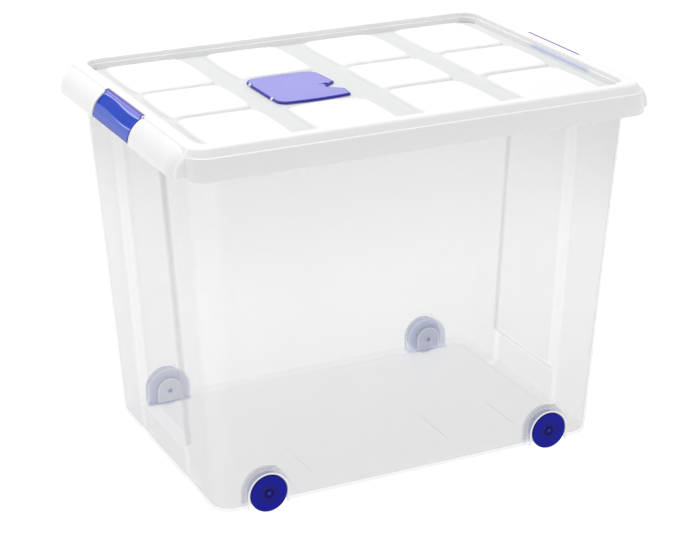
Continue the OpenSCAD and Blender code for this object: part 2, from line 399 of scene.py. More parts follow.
class Wire:
    """A number, colour or vector in a node tree. Its operators add the nodes that work it out."""

    def __init__(self, graph: "Graph", socket: bpy.types.NodeSocket) -> None:
        """Wraps a socket of the graph."""
        self.graph = graph
        self.socket = socket

    def _maths(self, operation: str, *values: "Wire | float") -> "Wire":
        """The result of a Math node on the values."""
        return self.graph.add("ShaderNodeMath", {"operation": operation}, dict(enumerate(values)))

    def __add__(self, other: "Wire | float") -> "Wire":
        """Sum."""
        return self._maths("ADD", self, other)

    def __radd__(self, other: float) -> "Wire":
        """Sum with a number on the left."""
        return self._maths("ADD", other, self)

    def __sub__(self, other: "Wire | float") -> "Wire":
        """Difference."""
        return self._maths("SUBTRACT", self, other)

    def __rsub__(self, other: float) -> "Wire":
        """Difference with a number on the left."""
        return self._maths("SUBTRACT", other, self)

    def __mul__(self, other: "Wire | float") -> "Wire":
        """Product."""
        return self._maths("MULTIPLY", self, other)

    def __rmul__(self, other: float) -> "Wire":
        """Product with a number on the left."""
        return self._maths("MULTIPLY", other, self)

    def __pow__(self, other: float) -> "Wire":
        """Power."""
        return self._maths("POWER", self, other)

    def __abs__(self) -> "Wire":
        """Size without sign."""
        return self._maths("ABSOLUTE", self)

    def rise(self, low: float, high: float) -> "Wire":
        """0 up to low, 1 from high, and smooth between them.

        Args:
            low: Where the rise starts.
            high: Where it ends.

        Returns:
            The mapped value.
        """
        inputs = {"Value": self, "From Min": low, "From Max": high}
        return self.graph.add("ShaderNodeMapRange", {"interpolation_type": "SMOOTHSTEP"}, inputs)


class Graph:
    """The node tree of one material, with its Principled shader."""

    def __init__(self, name: str) -> None:
        """Starts an empty material of that name."""
        self.material = bpy.data.materials.new(name)
        self.material.use_nodes = True
        self.tree = self.material.node_tree
        self.tree.nodes.clear()
        self.shader = self.tree.nodes.new("ShaderNodeBsdfPrincipled")
        output = self.tree.nodes.new("ShaderNodeOutputMaterial")
        self.tree.links.new(self.shader.outputs[0], output.inputs[0])
        place = self.tree.nodes.new("ShaderNodeTexCoord")
        self.place = Wire(self, place.outputs["Object"])

    def feed(self, socket: bpy.types.NodeSocket, value: object) -> None:
        """Links a wire to a socket, or sets the socket's own value.

        Args:
            socket: The input.
            value: A Wire, a number or a tuple.
        """
        if isinstance(value, Wire):
            self.tree.links.new(value.socket, socket)
        else:
            socket.default_value = value

    def add(self, kind: str, settings: dict, inputs: dict, output: int | str = 0) -> Wire:
        """Adds a node.

        Args:
            kind: The node's type.
            settings: Its properties, which are set first.
            inputs: Values or wires for its sockets, by name or number.
            output: The output that is wanted.

        Returns:
            That output.
        """
        node = self.tree.nodes.new(kind)
        for key, value in settings.items():
            setattr(node, key, value)
        for key, value in inputs.items():
            self.feed(node.inputs[key], value)
        return Wire(self, node.outputs[output])

    def mix(self, factor: Wire | float, low: object, high: object) -> Wire:
        """The colour low where factor is 0, and high where it is 1."""
        return self.add("ShaderNodeMix", {"data_type": "RGBA"}, {0: factor, 6: low, 7: high}, 2)

    def noise(self, scale: float, detail: float, stretch: tuple[float, float, float] = (1, 1, 1)) -> Wire:
        """Cloudy values from 0 to 1 over the object.

        Args:
            scale: Features in each metre.
            detail: How many finer layers are added.
            stretch: Factors on the coordinates, below 1 to draw the clouds out.

        Returns:
            The values.
        """
        spread = self.add("ShaderNodeMapping", {}, {"Vector": self.place, "Scale": stretch})
        return self.add("ShaderNodeTexNoise", {}, {"Vector": spread, "Scale": scale, "Detail": detail})

    def facing(self, blend: float) -> Wire:
        """0 where a surface is met head on, 1 at its outline."""
        return self.add("ShaderNodeLayerWeight", {}, {"Blend": blend}, "Facing")

    def axis(self, name: str) -> Wire:
        """One object coordinate, by its letter."""
        return self.add("ShaderNodeSeparateXYZ", {}, {0: self.place}, name)

    def attribute(self, name: str) -> Wire:
        """A number stored at the vertices, by its name."""
        return self.add("ShaderNodeAttribute", {"attribute_name": name}, {}, "Fac")

    def band(self, value: Wire, middle: float, half: float, edge: float) -> Wire:
        """1 where value is within half of the middle, falling to 0 over the edge outside."""
        return 1.0 - abs(value - middle).rise(half, half + edge)

    def between(self, value: Wire, low: Span, high: Span) -> Wire:
        """Rises over the low span and falls again over the high one."""
        return value.rise(*low) * (1.0 - value.rise(*high))

    def dress(self, **sockets: object) -> bpy.types.Material:
        """Feeds the shader's sockets, an underscore standing for a space in their names.

        Args:
            sockets: A value or wire for each socket.

        Returns:
            The material.
        """
        for name, value in sockets.items():
            self.feed(self.shader.inputs[name.replace("_", " ")], value)
        return self.material

    def relief(self, height: Wire, strength: float, distance: float) -> Wire:
        """The normal of a surface with that height on it."""
        inputs = {"Strength": strength, "Distance": distance, "Height": height}
        return self.add("ShaderNodeBump", {}, inputs)


@dataclass(frozen=True)
class ClearPlastic:
    """Clear, slightly hazy moulding: denser at a slant, in its floor and round the wheels, and darker towards
    its mouth as painted shade under the lid. Round the wheels it carries a painted blue cast of their light,
    painted light on the bosses and painted highlights on the edges and collars; a glowing painted highlight
    line runs up the rear edge of each end recess.

    A Span is where a smooth rise along a coordinate starts and ends. The numbers named add_ are what the
    alpha gains where their mask is 1.
    """

    pale: Colour = (0.50, 0.50, 0.515, 1)
    deep: Colour = (0.34, 0.345, 0.38, 1)
    floor: Colour = (0.72, 0.72, 0.735, 1)
    # painted blue cast: the blue wheels' light seen through the clear wall, painted round the housings
    painted_blue_cast: Colour = (0.78, 0.82, 1.0, 1)
    # light: near-white used as painted light on the boss faces and painted highlights on the edges and collar
    # rings
    light: Colour = (0.93, 0.94, 0.96, 1)
    # gleam: emission colour of a glowing painted highlight line at each end recess
    gleam: Colour = (0.30, 0.30, 0.30, 1)
    thin: float = 0.115
    dense: float = 0.75
    add_clouds: float = 0.02
    add_flow: float = 0.01
    # painted shade: alpha gained towards the mouth darkens the walls under the lid
    add_mouth_shade: float = 0.080
    add_ground: float = 0.060
    add_corner: float = 0.005
    add_left_corner: float = -0.03
    add_housing: float = 0.10
    # these alpha gains let the painted blue cast show inside the rear housings
    add_inner: float = 0.20
    add_left_inner: float = 0.28
    # alpha gains that carry the painted light on the bosses, edges and collar rings
    add_boss: float = 0.10
    add_edge_highlight: float = 0.35
    add_collar_highlight: float = 0.75
    add_flank: float = -0.035
    flank_clear: float = 0.95
    middle_x: Span = (-0.01, 0.0)
    middle_y: Span = (0.0, 0.01)
    corner_x: Span = (0.235, 0.255)
    corner_y: Span = (0.150, 0.170)
    end_x: Span = (0.238, 0.243)
    mouth_shade_z: Span = (0.26, 0.43)
    ground_z: Span = (0.0105, 0.014)
    highlight_line_z: Span = (0.1, 0.40)
    recess_y: float = 0.075
    recess_z: float = 0.0565
    recess_end_y: Span = (0.078, 0.082)
    flank_half: float = 0.006
    highlight_line_y: float = 0.078
    wheel_x: float = 0.189
    wheel_z: float = 0.0235
    housing_r: float = 0.0285
    housing_y: tuple[Span, Span] = ((0.1485, 0.1495), (0.1655, 0.1665))
    housing_z: Span = (0.054, 0.056)
    inner_y: Span = (0.157, 0.158)
    back_y: tuple[Span, Span] = ((0.1532, 0.1538), (0.1560, 0.1565))
    boss_y: tuple[Span, Span] = ((0.1485, 0.1490), (0.1515, 0.1520))
    boss_r: Span = (0.0175, 0.018)
    boss_edge_r: float = 0.0160
    boss_foot_z: float = 0.0105
    collar_r: float = 0.0275
    collar_y: Span = (0.1695, 0.1702)
    collar_z: Span = (0.052, 0.053)

    def housing(self, g: Graph, x: Wire, y: Wire, z: Wire) -> tuple[Wire, Wire, Wire, Wire]:
        """Masks round the wheels.

        The reach is the distance to the axle's line, and below the axle the distance across it.

        Args:
            g: The material's graph.
            x: Distance from the middle of the box along X.
            y: Distance from the middle of the box along Y.
            z: Height.

        Returns:
            Masks of the housing, of its boss's face, of the painted highlight on the boss's and pocket's
            edges and of the painted highlight ring at the collar.
        """
        housing = g.band(x, self.wheel_x, self.housing_r, 0.0015) * (1.0 - z.rise(*self.housing_z))
        housing = housing * g.between(y, *self.housing_y)
        across = x - self.wheel_x
        up = g.add("ShaderNodeMath", {"operation": "MAXIMUM"}, {0: z - self.wheel_z, 1: 0.0})
        reach = (across * across + up * up) ** 0.5
        boss = g.between(y, *self.boss_y) * (1.0 - reach.rise(*self.boss_r))
        # painted highlights along the boss's rim and foot and the pocket's back edge, and a painted highlight
        # ring at the collar
        edges = g.band(reach, self.boss_edge_r, 0.0003, 0.0006) + g.band(z, self.boss_foot_z, 0.0004, 0.0005)
        edge_highlight = boss * edges + g.between(y, *self.back_y) * g.band(reach, self.housing_r, 0.0002, 0.0006)
        collar = g.band(x, self.wheel_x, self.collar_r, 0.0005) * y.rise(*self.collar_y)
        return housing, boss, edge_highlight.rise(0.0, 1.0), collar * (1.0 - z.rise(*self.collar_z))

    def build(self) -> bpy.types.Material:
        """The material."""
        g = Graph("clear_plastic")
        x, y, z = (g.axis(name) for name in "XYZ")
        off_x, off_y = abs(x), abs(y)
        clouds = g.noise(5.0, 2.0, (1, 1, 0.25))
        flow = g.noise(60.0, 3.0, (1, 1, 0.06))
        rear, left = y.rise(*self.middle_y), 1.0 - x.rise(*self.middle_x)
        corner = off_x.rise(*self.corner_x) * off_y.rise(*self.corner_y)
        end = off_x.rise(*self.end_x)
        foot = g.band(z, self.recess_z, self.flank_half, 0.001) * (1.0 - off_y.rise(*self.recess_end_y))
        flank = ((g.band(off_y, self.recess_y, self.flank_half, 0.001) + foot) * end).rise(0.0, 1.0)
        # line: mask of the painted highlight that glows along the rear edge of each end recess
        line = g.band(y, self.highlight_line_y, 0.0003, 0.0005) * end * z.rise(*self.highlight_line_z)
        ground = 1.0 - z.rise(*self.ground_z)
        depth = g.facing(0.35) ** 4.0 * (1.0 - self.flank_clear * flank)
        housing, boss, edge_highlight, collar = self.housing(g, off_x, off_y, z)
        inner = housing * rear * (1.0 - off_y.rise(*self.inner_y))
        shade = g.mix(depth, self.pale, self.deep)
        shade = g.mix(ground, shade, self.floor)
        # painted blue cast over the housings, stronger at the rear wheels
        shade = g.mix(housing * (0.35 + 0.65 * rear), shade, self.painted_blue_cast)
        # painted light on the boss faces, then painted highlights on the edges and collar rings
        shade = g.mix(0.5 * boss, shade, self.light)
        shade = g.mix(edge_highlight + collar, shade, self.light)
        alpha = self.thin + (self.dense - self.thin) * depth + self.add_clouds * clouds + self.add_flow * flow
        # alpha gains; the mouth share is painted shade under the lid
        for share, mask in ((self.add_mouth_shade, z.rise(*self.mouth_shade_z)), (self.add_ground, ground),
                            (self.add_corner, corner), (self.add_left_corner, left * corner),
                            (self.add_housing, housing), (self.add_inner, inner),
                            (self.add_left_inner, left * inner), (self.add_boss, boss), (self.add_edge_highlight, edge_highlight),
                            (self.add_collar_highlight, collar), (self.add_flank, flank)):
            alpha = alpha + share * mask
        # the painted highlight line glows through the emission colour
        glow = g.mix(line, (0, 0, 0, 1), self.gleam)
        return g.dress(Base_Color=shade, Alpha=alpha, Roughness=0.16 + 0.12 * clouds, IOR=1.49,
                       Emission_Color=glow, Emission_Strength=1.0, Normal=g.relief(flow, 0.06, 0.002))


@dataclass(frozen=True)
class MilkyPlastic:
    """White moulding that lets a little light through, with painted shade darkening its channels against its
    pillows, a painted highlight along the rim's inner edge and a painted blue cast where the right clip's
    light comes through.
    """

    white: Colour = (0.89, 0.89, 0.895, 1)
    # channel shade: painted shade that darkens the channels and the well's lower walls
    channel_shade: Colour = (0.71, 0.715, 0.72, 1)
    # rim highlight: painted highlight along the rim's inner edge
    rim_highlight: Colour = (0.97, 0.97, 0.97, 1)
    # painted blue cast: light from the blue clip behind the well's right wall, painted on its window
    painted_blue_cast: Colour = (0.56, 0.62, 0.86, 1)
    thin: float = 0.84
    dense: float = 0.98
    lift_z: Span = (0.4528, 0.4560)
    well_x: Span = (0.2672, 0.2680)
    well_y: Span = (0.1892, 0.1900)
    rim_y: Span = (0.1925, 0.1930)
    window_x: tuple[Span, Span] = ((0.2672, 0.2678), (0.2705, 0.2710))
    window_y: tuple[Span, Span] = ((-0.112, -0.100), (0.020, 0.040))
    window_z: float = 0.4580

    def build(self) -> bpy.types.Material:
        """The material. The window is the stretch of the well's right wall where the blue light from the clip
        behind it is painted on.
        """
        g = Graph("white_plastic")
        x, y, z = (g.axis(name) for name in "XYZ")
        off_y = abs(y)
        clouds = g.noise(9.0, 2.0)
        grain = g.noise(900.0, 2.0)
        lift = z.rise(*self.lift_z)
        window = g.between(x, *self.window_x) * g.between(y, *self.window_y)
        window = window * g.band(z, self.window_z, 0.0022, 0.0008)
        well = (1.0 - abs(x).rise(*self.well_x)) * (1.0 - off_y.rise(*self.well_y))
        # painted shade in the well below the pillows' tops, with a little random variation
        shade = g.mix(well * (1.0 - lift) * 0.95 + 0.05 * clouds, self.white, self.channel_shade)
        # painted highlight along the rim's inner edge
        shade = g.mix(g.between(off_y, self.well_y, self.rim_y), shade, self.rim_highlight)
        # painted blue cast of the clip's light in the window
        shade = g.mix(window * 0.8, shade, self.painted_blue_cast)
        alpha = self.thin + (self.dense - self.thin) * g.facing(0.4) + 0.02 * clouds
        return g.dress(Base_Color=shade, Alpha=alpha, Roughness=0.3 + 0.1 * clouds, IOR=1.49,
                       Normal=g.relief(grain, 0.05, 0.0005))


@dataclass(frozen=True)
class ClipPlastic:
    """Blue moulding of one colour, with painted light in three bands along its curve, dark edges and a
    painted highlight line at each seam.
    """

    # light: painted light on the upper band, lit from above
    light: Colour = (0.27, 0.27, 0.80, 1)
    full: Colour = (0.003, 0.045, 0.47, 1)
    # low: the lower band, painted paler than the hollow above it as light
    low: Colour = (0.09, 0.145, 0.58, 1)
    edge: Colour = (0.01, 0.01, 0.26, 1)
    crest: Colour = (0.10, 0.07, 0.35, 1)
    # gleam: painted highlight at the seams
    gleam: Colour = (0.45, 0.52, 0.90, 1)
    upper_z: float = 0.4607
    lower_z: float = 0.4509
    upper_wave: float = 0.0007
    lower_wave: float = 0.0010
    half_w: float = 0.060
    edge_y: Span = (0.0558, 0.0574)
    edge_z: Span = (0.4371, 0.4385)
    crest_z: Span = (0.4653, 0.4656)
    gleam_y: Span = (-0.045, 0.01)

    def build(self) -> bpy.types.Material:
        """The material. The seams wave along Y like a sine."""
        g = Graph("blue_clip")
        y, z = g.axis("Y"), g.axis("Z")
        clouds = g.noise(30.0, 2.0)
        grain = g.noise(1400.0, 2.0)
        wave = g.add("ShaderNodeMath", {"operation": "SINE"}, {0: y * (math.pi / self.half_w)})
        upper = z - wave * self.upper_wave - self.upper_z
        lower = z - wave * self.lower_wave - self.lower_z
        # painted light above the upper seam and on the lower band; the thumb hollow between keeps the full
        # colour
        shade = g.mix(upper.rise(-0.0002, 0.0003), self.full, self.light)
        shade = g.mix(lower.rise(-0.0003, 0.0003), self.low, shade)
        # painted highlight lines at the seams
        shade = g.mix(g.band(upper, 0.0006, 0.0002, 0.0004) * 0.7, shade, self.gleam)
        below = g.band(lower, -0.0006, 0.0002, 0.0005) * (1.0 - y.rise(*self.gleam_y))
        shade = g.mix(below, shade, self.gleam)
        rim = abs(y).rise(*self.edge_y) + (1.0 - z.rise(*self.edge_z))
        shade = g.mix(rim * 0.8, shade, self.edge)
        shade = g.mix(z.rise(*self.crest_z), shade, self.crest)
        shade = g.mix(clouds * 0.12, shade, self.full)
        alpha = 0.993 + 0.006 * g.facing(0.45)
        return g.dress(Base_Color=shade, Alpha=alpha, Roughness=0.2 + 0.1 * clouds, IOR=1.49,
                       Specular_IOR_Level=0.15, Normal=g.relief(grain, 0.04, 0.0004))


@dataclass(frozen=True)
class FlapPlastic:
    """Pale blue moulding with a deeper outline, a dark side and a painted reflection along its foot."""

    face: Colour = (0.31, 0.30, 0.73, 1)
    outline: Colour = (0.07, 0.06, 0.48, 1)
    side: Colour = (0.002, 0.0, 0.26, 1)
    # foot: a painted reflection, the pale line along the bottom of the flap's edge
    foot: Colour = (0.25, 0.24, 0.78, 1)
    front_y: Span = (-0.052, -0.042)
    outline_z: Span = (0.45556, 0.45574)
    side_z: Span = (0.4552, 0.4555)
    foot_z: Span = (0.4536, 0.4539)

    def build(self) -> bpy.types.Material:
        """The material. The outline's strength is stored at the vertices."""
        g = Graph("blue_flap")
        z = g.axis("Z")
        clouds = g.noise(30.0, 2.0)
        grain = g.noise(1400.0, 2.0)
        outline = g.attribute("outline")
        shade = g.mix(outline, self.face, self.outline)
        shade = g.mix(outline * (1.0 - g.axis("Y").rise(*self.front_y)), shade, self.side)
        # the last band paints a reflection along the flap's foot
        bands = ((self.outline_z, self.outline), (self.side_z, self.side), (self.foot_z, self.foot))
        for span, colour in bands:
            shade = g.mix(1.0 - z.rise(*span), shade, colour)
        shade = g.mix(clouds * 0.1, shade, self.outline)
        alpha = 0.95 + 0.04 * g.facing(0.45)
        return g.dress(Base_Color=shade, Alpha=alpha, Roughness=0.22 + 0.1 * clouds, IOR=1.49,
                       Specular_IOR_Level=0.3, Normal=g.relief(grain, 0.04, 0.0004))


@dataclass(frozen=True)
class WheelPlastic:
    """Deep blue opaque moulding: lighter blue towards its dark rim, with a dot, and painted pale on its
    hidden sides as painted light standing in for the light the real wheel lets through.
    """

    name: str
    face: Colour = (0.008, 0.007, 0.19, 1)
    middle: Colour = (0.004, 0.005, 0.33, 1)
    edge: Colour = (0.006, 0.005, 0.15, 1)
    # back: painted light on the hidden sides, standing in for light through the translucent plastic
    back: Colour = (0.70, 0.74, 1.0, 1)
    dot: Colour = (0.008, 0.007, 0.19, 1)
    axle_x: float = 0.189
    axle_z: float = 0.0235
    middle_r: Span = (0.005, 0.019)
    rim_r: Span = (0.0212, 0.0227)
    dot_r: Span = (0.0009, 0.0013)
    hub_r: Span = (0.007, 0.0075)
    hub_y: Span = (0.160, 0.161)
    face_y: Span = (0.1690, 0.1695)

    def build(self) -> bpy.types.Material:
        """The material. The distance to the axle's line is the root of the two squared offsets' sum."""
        g = Graph(self.name)
        clouds = g.noise(60.0, 3.0)
        grain = g.noise(1500.0, 2.0)
        across, up, y = abs(g.axis("X")) - self.axle_x, g.axis("Z") - self.axle_z, abs(g.axis("Y"))
        r = (across * across + up * up) ** 0.5
        hub = y.rise(*self.hub_y) * (1.0 - r.rise(*self.hub_r))
        outside = (y.rise(*self.face_y) + hub).rise(0.0, 1.0)
        shade = g.mix(r.rise(*self.middle_r), self.face, self.middle)
        shade = g.mix(r.rise(*self.rim_r), shade, self.edge)
        shade = g.mix(1.0 - r.rise(*self.dot_r), shade, self.dot)
        shade = g.mix(clouds * 0.25, shade, self.edge)
        # the hidden sides take the painted light colour
        shade = g.mix(outside, self.back, shade)
        return g.dress(Base_Color=shade, Roughness=0.3 + 0.12 * clouds, IOR=1.49, Specular_IOR_Level=0.12,
                       Normal=g.relief(grain, 0.04, 0.0004))


@dataclass(frozen=True)
class StudioFloor:
    """Pale seamless sweep that fades to the white of the room."""

    colour: Colour = (0.20, 0.20, 0.20, 1)
    patch: Colour = (0.24, 0.24, 0.24, 1)
    glow: float = 0.96

    def build(self) -> bpy.types.Material:
        """The material."""
        g = Graph("studio_floor")
        colour = g.mix(g.noise(1.5, 2.0) * 0.3, self.colour, self.patch)
        return g.dress(Base_Color=colour, Roughness=0.9, Emission_Color=(1, 1, 1, 1),
                       Emission_Strength=self.glow)


# ---------------------------------------------------------------- sub-assemblies


def finish_piece(piece: bpy.types.Object, material: bpy.types.Material, body: str,
                 nodes: tuple[str, ...]) -> None:
    """Dresses a piece, puts it on its body and reports it.

    Args:
        piece: The object.
        material: Its finish.
        body: The body that it moves with.
        nodes: The CAD nodes that it stands for.
    """
    piece.data.materials.clear()
    piece.data.materials.append(material)
    smooth(piece)
    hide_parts(*nodes)
    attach(piece, body)
    LOG.info("%s: %d faces on %s", piece.name, len(piece.data.polygons), body)


@dataclass
class Tub:
    """The clear tub: drafted walls, a flange with a lip, end recesses and four wheel housings."""

    base_half_l: float = 0.253
    base_half_w: float = 0.167
    draft: float = 0.024
    wall: float = 0.0022
    floor_t: float = 0.0025
    corner_r: float = 0.024
    flange_t: float = 0.0025
    flange_drop: float = 0.009
    recess_depth: float = 0.008
    recess_half_w: float = 0.075
    recess_low: float = 0.0565
    recess_high: float = 0.436
    wheel_x: float = 0.189
    wheel_z: float = 0.0235
    pocket_r: float = 0.027
    pocket_y: float = 0.1565
    opening_r: float = 0.0243
    opening_y: float = 0.1643
    collar_r: float = 0.0265
    collar_y: float = 0.1705
    boss_r: float = 0.017
    boss_y: float = 0.150
    spacer_r: float = 0.006
    spacer_y: float = 0.1575
    axle_r: float = 0.003
    bore_y: float = 0.160
    neck_half: Span = (0.013, 0.0122)
    neck_z: Span = (0.040, 0.054)
    neck_y: float = 0.1612
    pad_t: float = 0.0012
    rib_x: tuple[float, ...] = (-0.112, 0.078, 0.173)
    rib_y: Span = (-0.115, -0.038)
    rib_half: float = 0.0007
    low: Vector = field(default_factory=lambda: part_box("tub")[0])
    high: Vector = field(default_factory=lambda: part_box("tub")[1])

    def profile(self) -> Array:
        """Rings from under the base, up the outside, over the flange and down the inside to the floor.

        Returns:
            One row for each ring: half length, half width, corner radius and height.
        """
        base, top, w, r = self.low.z, self.high.z, self.wall, self.corner_r
        under = top - self.flange_t
        lean = self.draft * (under - base) / (top - base)
        bl, bw, fl, fw = self.base_half_l, self.base_half_w, self.high.x, self.high.y
        mouth_l, mouth_w = bl + self.draft - w, bw + self.draft - w
        floor = base + self.floor_t
        corners = [
            (bl - 0.03, bw - 0.03, 0.012, base + 0.0008), (bl - 0.014, bw - 0.014, 0.016, base + 0.0008),
            (bl - 0.012, bw - 0.012, 0.016, base), (bl, bw, r, base),
            (bl + lean, bw + lean, r, under), (fl - w, fw - w, r + 0.004, under),
            (fl - w, fw - w, r + 0.004, top - self.flange_drop), (fl, fw, r + 0.006, top - self.flange_drop),
            (fl, fw, r + 0.006, top), (mouth_l, mouth_w, r - w, top),
            (bl - w, bw - w, r - w, floor), (bl - 0.016, bw - 0.016, 0.012, floor),
            (bl - 0.018, bw - 0.018, 0.012, floor + self.pad_t),
            (bl - 0.05, bw - 0.05, 0.01, floor + self.pad_t),
        ]
        softness = [0, 0.001, 0.001, 0.006, 0.0012, 0.0008, 0.0004,
                    0.0009, 0.0016, 0.0008, 0.009, 0.001, 0.001, 0]
        path = soften(corners, softness, 5)
        low, high = self.recess_low, self.recess_high
        steps = np.linspace(0, 1, 6)
        levels = np.concatenate([np.linspace(0.02, 0.05, 3), low - 0.004 + 0.008 * steps,
                                 np.linspace(low + 0.015, high - 0.015, 26), high - 0.003 + 0.006 * steps])
        return divided(path, 3, levels)

    def shell(self) -> bpy.types.Object:
        """Skins the profile's rings and pushes the end walls in over their recesses.

        The depth at (y, z) is the recess depth times a smooth plateau in y and one in z.

        Returns:
            The shell.
        """
        half = self.recess_half_w
        near = np.linspace(half - 0.0035, half + 0.0035, 8)
        positive = np.concatenate([np.linspace(0, half - 0.008, 6), near, [half + 0.008, 0.1]])
        fixed = tuple(np.concatenate([-positive[:0:-1], positive]))
        rings = RingPlan(corner_steps=14, end_fixed=fixed).rings(self.profile())
        x, y, z = rings[..., 0], rings[..., 1], rings[..., 2]
        depth = bump(y, -half + 0.0025, half - 0.0025, 0.005)
        depth = depth * bump(z, self.recess_low + 0.002, self.recess_high - 0.002, 0.004)
        at_end = (np.abs(x) > self.base_half_l - 0.006) & (z < self.high.z - self.flange_drop - 0.0005)
        rings[..., 0] = x - np.sign(x) * depth * at_end * self.recess_depth
        return loft("tub_shell", rings)

    def arch(self, sign_x: float, r: float, foot: float) -> Array:
        """Outline about an axle: a half circle over straight legs.

        Args:
            sign_x: -1 for the left wheels, 1 for the right.
            r: The arch's radius.
            foot: Height of the legs' lower ends.

        Returns:
            Corners of the outline, x and z.
        """
        angle = np.linspace(0, math.pi, 41)
        x, z = r * np.cos(angle), self.wheel_z + r * np.sin(angle)
        outline = np.concatenate([np.stack([x, z], 1), [[-r, foot], [r, foot]]])
        return outline + [sign_x * self.wheel_x, 0]

    def wall_y(self, z: Array, inset: float) -> Array:
        """Distance from the middle plane to the long wall's outside at height z, less an inset."""
        lean = self.draft / (self.high.z - self.low.z)
        return self.base_half_w + lean * (z - self.low.z) - inset

    def wheel_place(self, sx: float, sy: float) -> dict[Cut | str, list[bpy.types.Object]]:
        """The solids that shape the wall round one wheel.

        Args:
            sx: -1 for the left wheels, 1 for the right.
            sy: -1 for the front wheels, 1 for the rear.

        Returns:
            Solids to add first, solids to remove, and spacers and bores for the axle.
        """
        base, inner_y = self.low.z, self.pocket_y - self.wall
        foot, below = base + 0.0012, base - 0.02

        def bar(outline: Array, y0: float | Array, y1: float | Array, edge: float = 0.0) -> bpy.types.Object:
            """A bar through the wall on this side of the box, between two distances from the middle plane."""
            return prism("bar", outline, sy * np.asarray(y0), sy * np.asarray(y1), edge)

        outer = self.arch(sx, self.pocket_r + self.wall, foot)
        collar = self.arch(sx, self.collar_r, base + 0.0002)
        (wide, slim), (start, end) = self.neck_half, self.neck_z
        neck = np.array([[wide, start], [slim, end], [-slim, end], [-wide, start]]) + [sx * self.wheel_x, 0]
        turn = np.linspace(0, 2 * math.pi, 48, endpoint=False)
        circle = np.stack([np.cos(turn), np.sin(turn)], 1)
        middle = np.array([sx * self.wheel_x, self.wheel_z])
        return {
            Cut.ADD: [bar(outer, inner_y, self.wall_y(outer[:, 1], self.wall / 2), 0.001),
                      bar(neck, self.neck_y, self.wall_y(neck[:, 1], self.wall / 2), 0.0006),
                      bar(self.arch(sx, self.boss_r, foot), self.boss_y, inner_y + 0.001, 0.0012),
                      bar(collar, self.collar_y, self.base_half_w - 0.001, 0.0004)],
            Cut.REMOVE: [bar(self.arch(sx, self.pocket_r, below), self.pocket_y, self.opening_y),
                         bar(self.arch(sx, self.opening_r, below), self.pocket_y, 0.19),
                         bar(self.arch(sx, self.boss_r - self.wall, below), self.boss_y + self.wall,
                             self.pocket_y + 0.001)],
            "spacer": [bar(middle + self.spacer_r * circle, self.spacer_y, self.boss_y + 0.0005, 0.0005)],
            "bore": [bar(middle + self.axle_r * circle, self.bore_y, self.boss_y - 0.001)],
        }

    def build(self) -> bpy.types.Object:
        """The tub as one closed mesh."""
        tub = self.shell()
        places = [self.wheel_place(sx, sy) for sx in (-1.0, 1.0) for sy in (-1.0, 1.0)]
        steps = ((Cut.ADD, Cut.ADD), (Cut.REMOVE, Cut.REMOVE), ("spacer", Cut.ADD), ("bore", Cut.REMOVE))
        for key, how in steps:
            combine(tub, [tool for place in places for tool in place[key]], how)
        floor = self.low.z + self.floor_t + self.pad_t
        half, (y0, y1) = self.rib_half, self.rib_y
        ribs = [box_solid("rib", (x - half, y0, floor - 0.0008), (x + half, y1, floor + half))
                for x in self.rib_x]
        combine(tub, ribs, Cut.ADD)
        tub.name = "clear_tub"
        return tub


@dataclass
class Pillow:
    """One raised cell of the lid's panel: a rectangle with bowed sides and rounded corners."""

    x0: float
    x1: float
    y0: float
    y1: float
    bow: float = 0.003
    corner: float = 0.012

    def height(self, x: Array, y: Array, flank: float) -> Array:
        """Share of the full height at each point.

        The signed distance to a rounded rectangle, whose half sizes grow by the bow times one minus the
        square of the place along the other side, is mapped by a smooth step over the flank.

        Args:
            x: X of each point.
            y: Y of each point.
            flank: Width of the sloped edge.

        Returns:
            0 outside the pillow and 1 on its top.
        """
        cx, cy = (self.x0 + self.x1) / 2, (self.y0 + self.y1) / 2
        hx, hy = (self.x1 - self.x0) / 2, (self.y1 - self.y0) / 2
        u, v = (x - cx) / hx, (y - cy) / hy
        px = np.abs(x - cx) - (hx - self.bow * np.clip(v, -1, 1) ** 2 - self.corner)
        py = np.abs(y - cy) - (hy - self.bow * 0.6 * np.clip(u, -1, 1) ** 2 - self.corner)
        outside = np.hypot(np.maximum(px, 0), np.maximum(py, 0)) + np.minimum(np.maximum(px, py), 0)
        return 1.0 - smooth_step(outside - self.corner, -flank, 0.0)


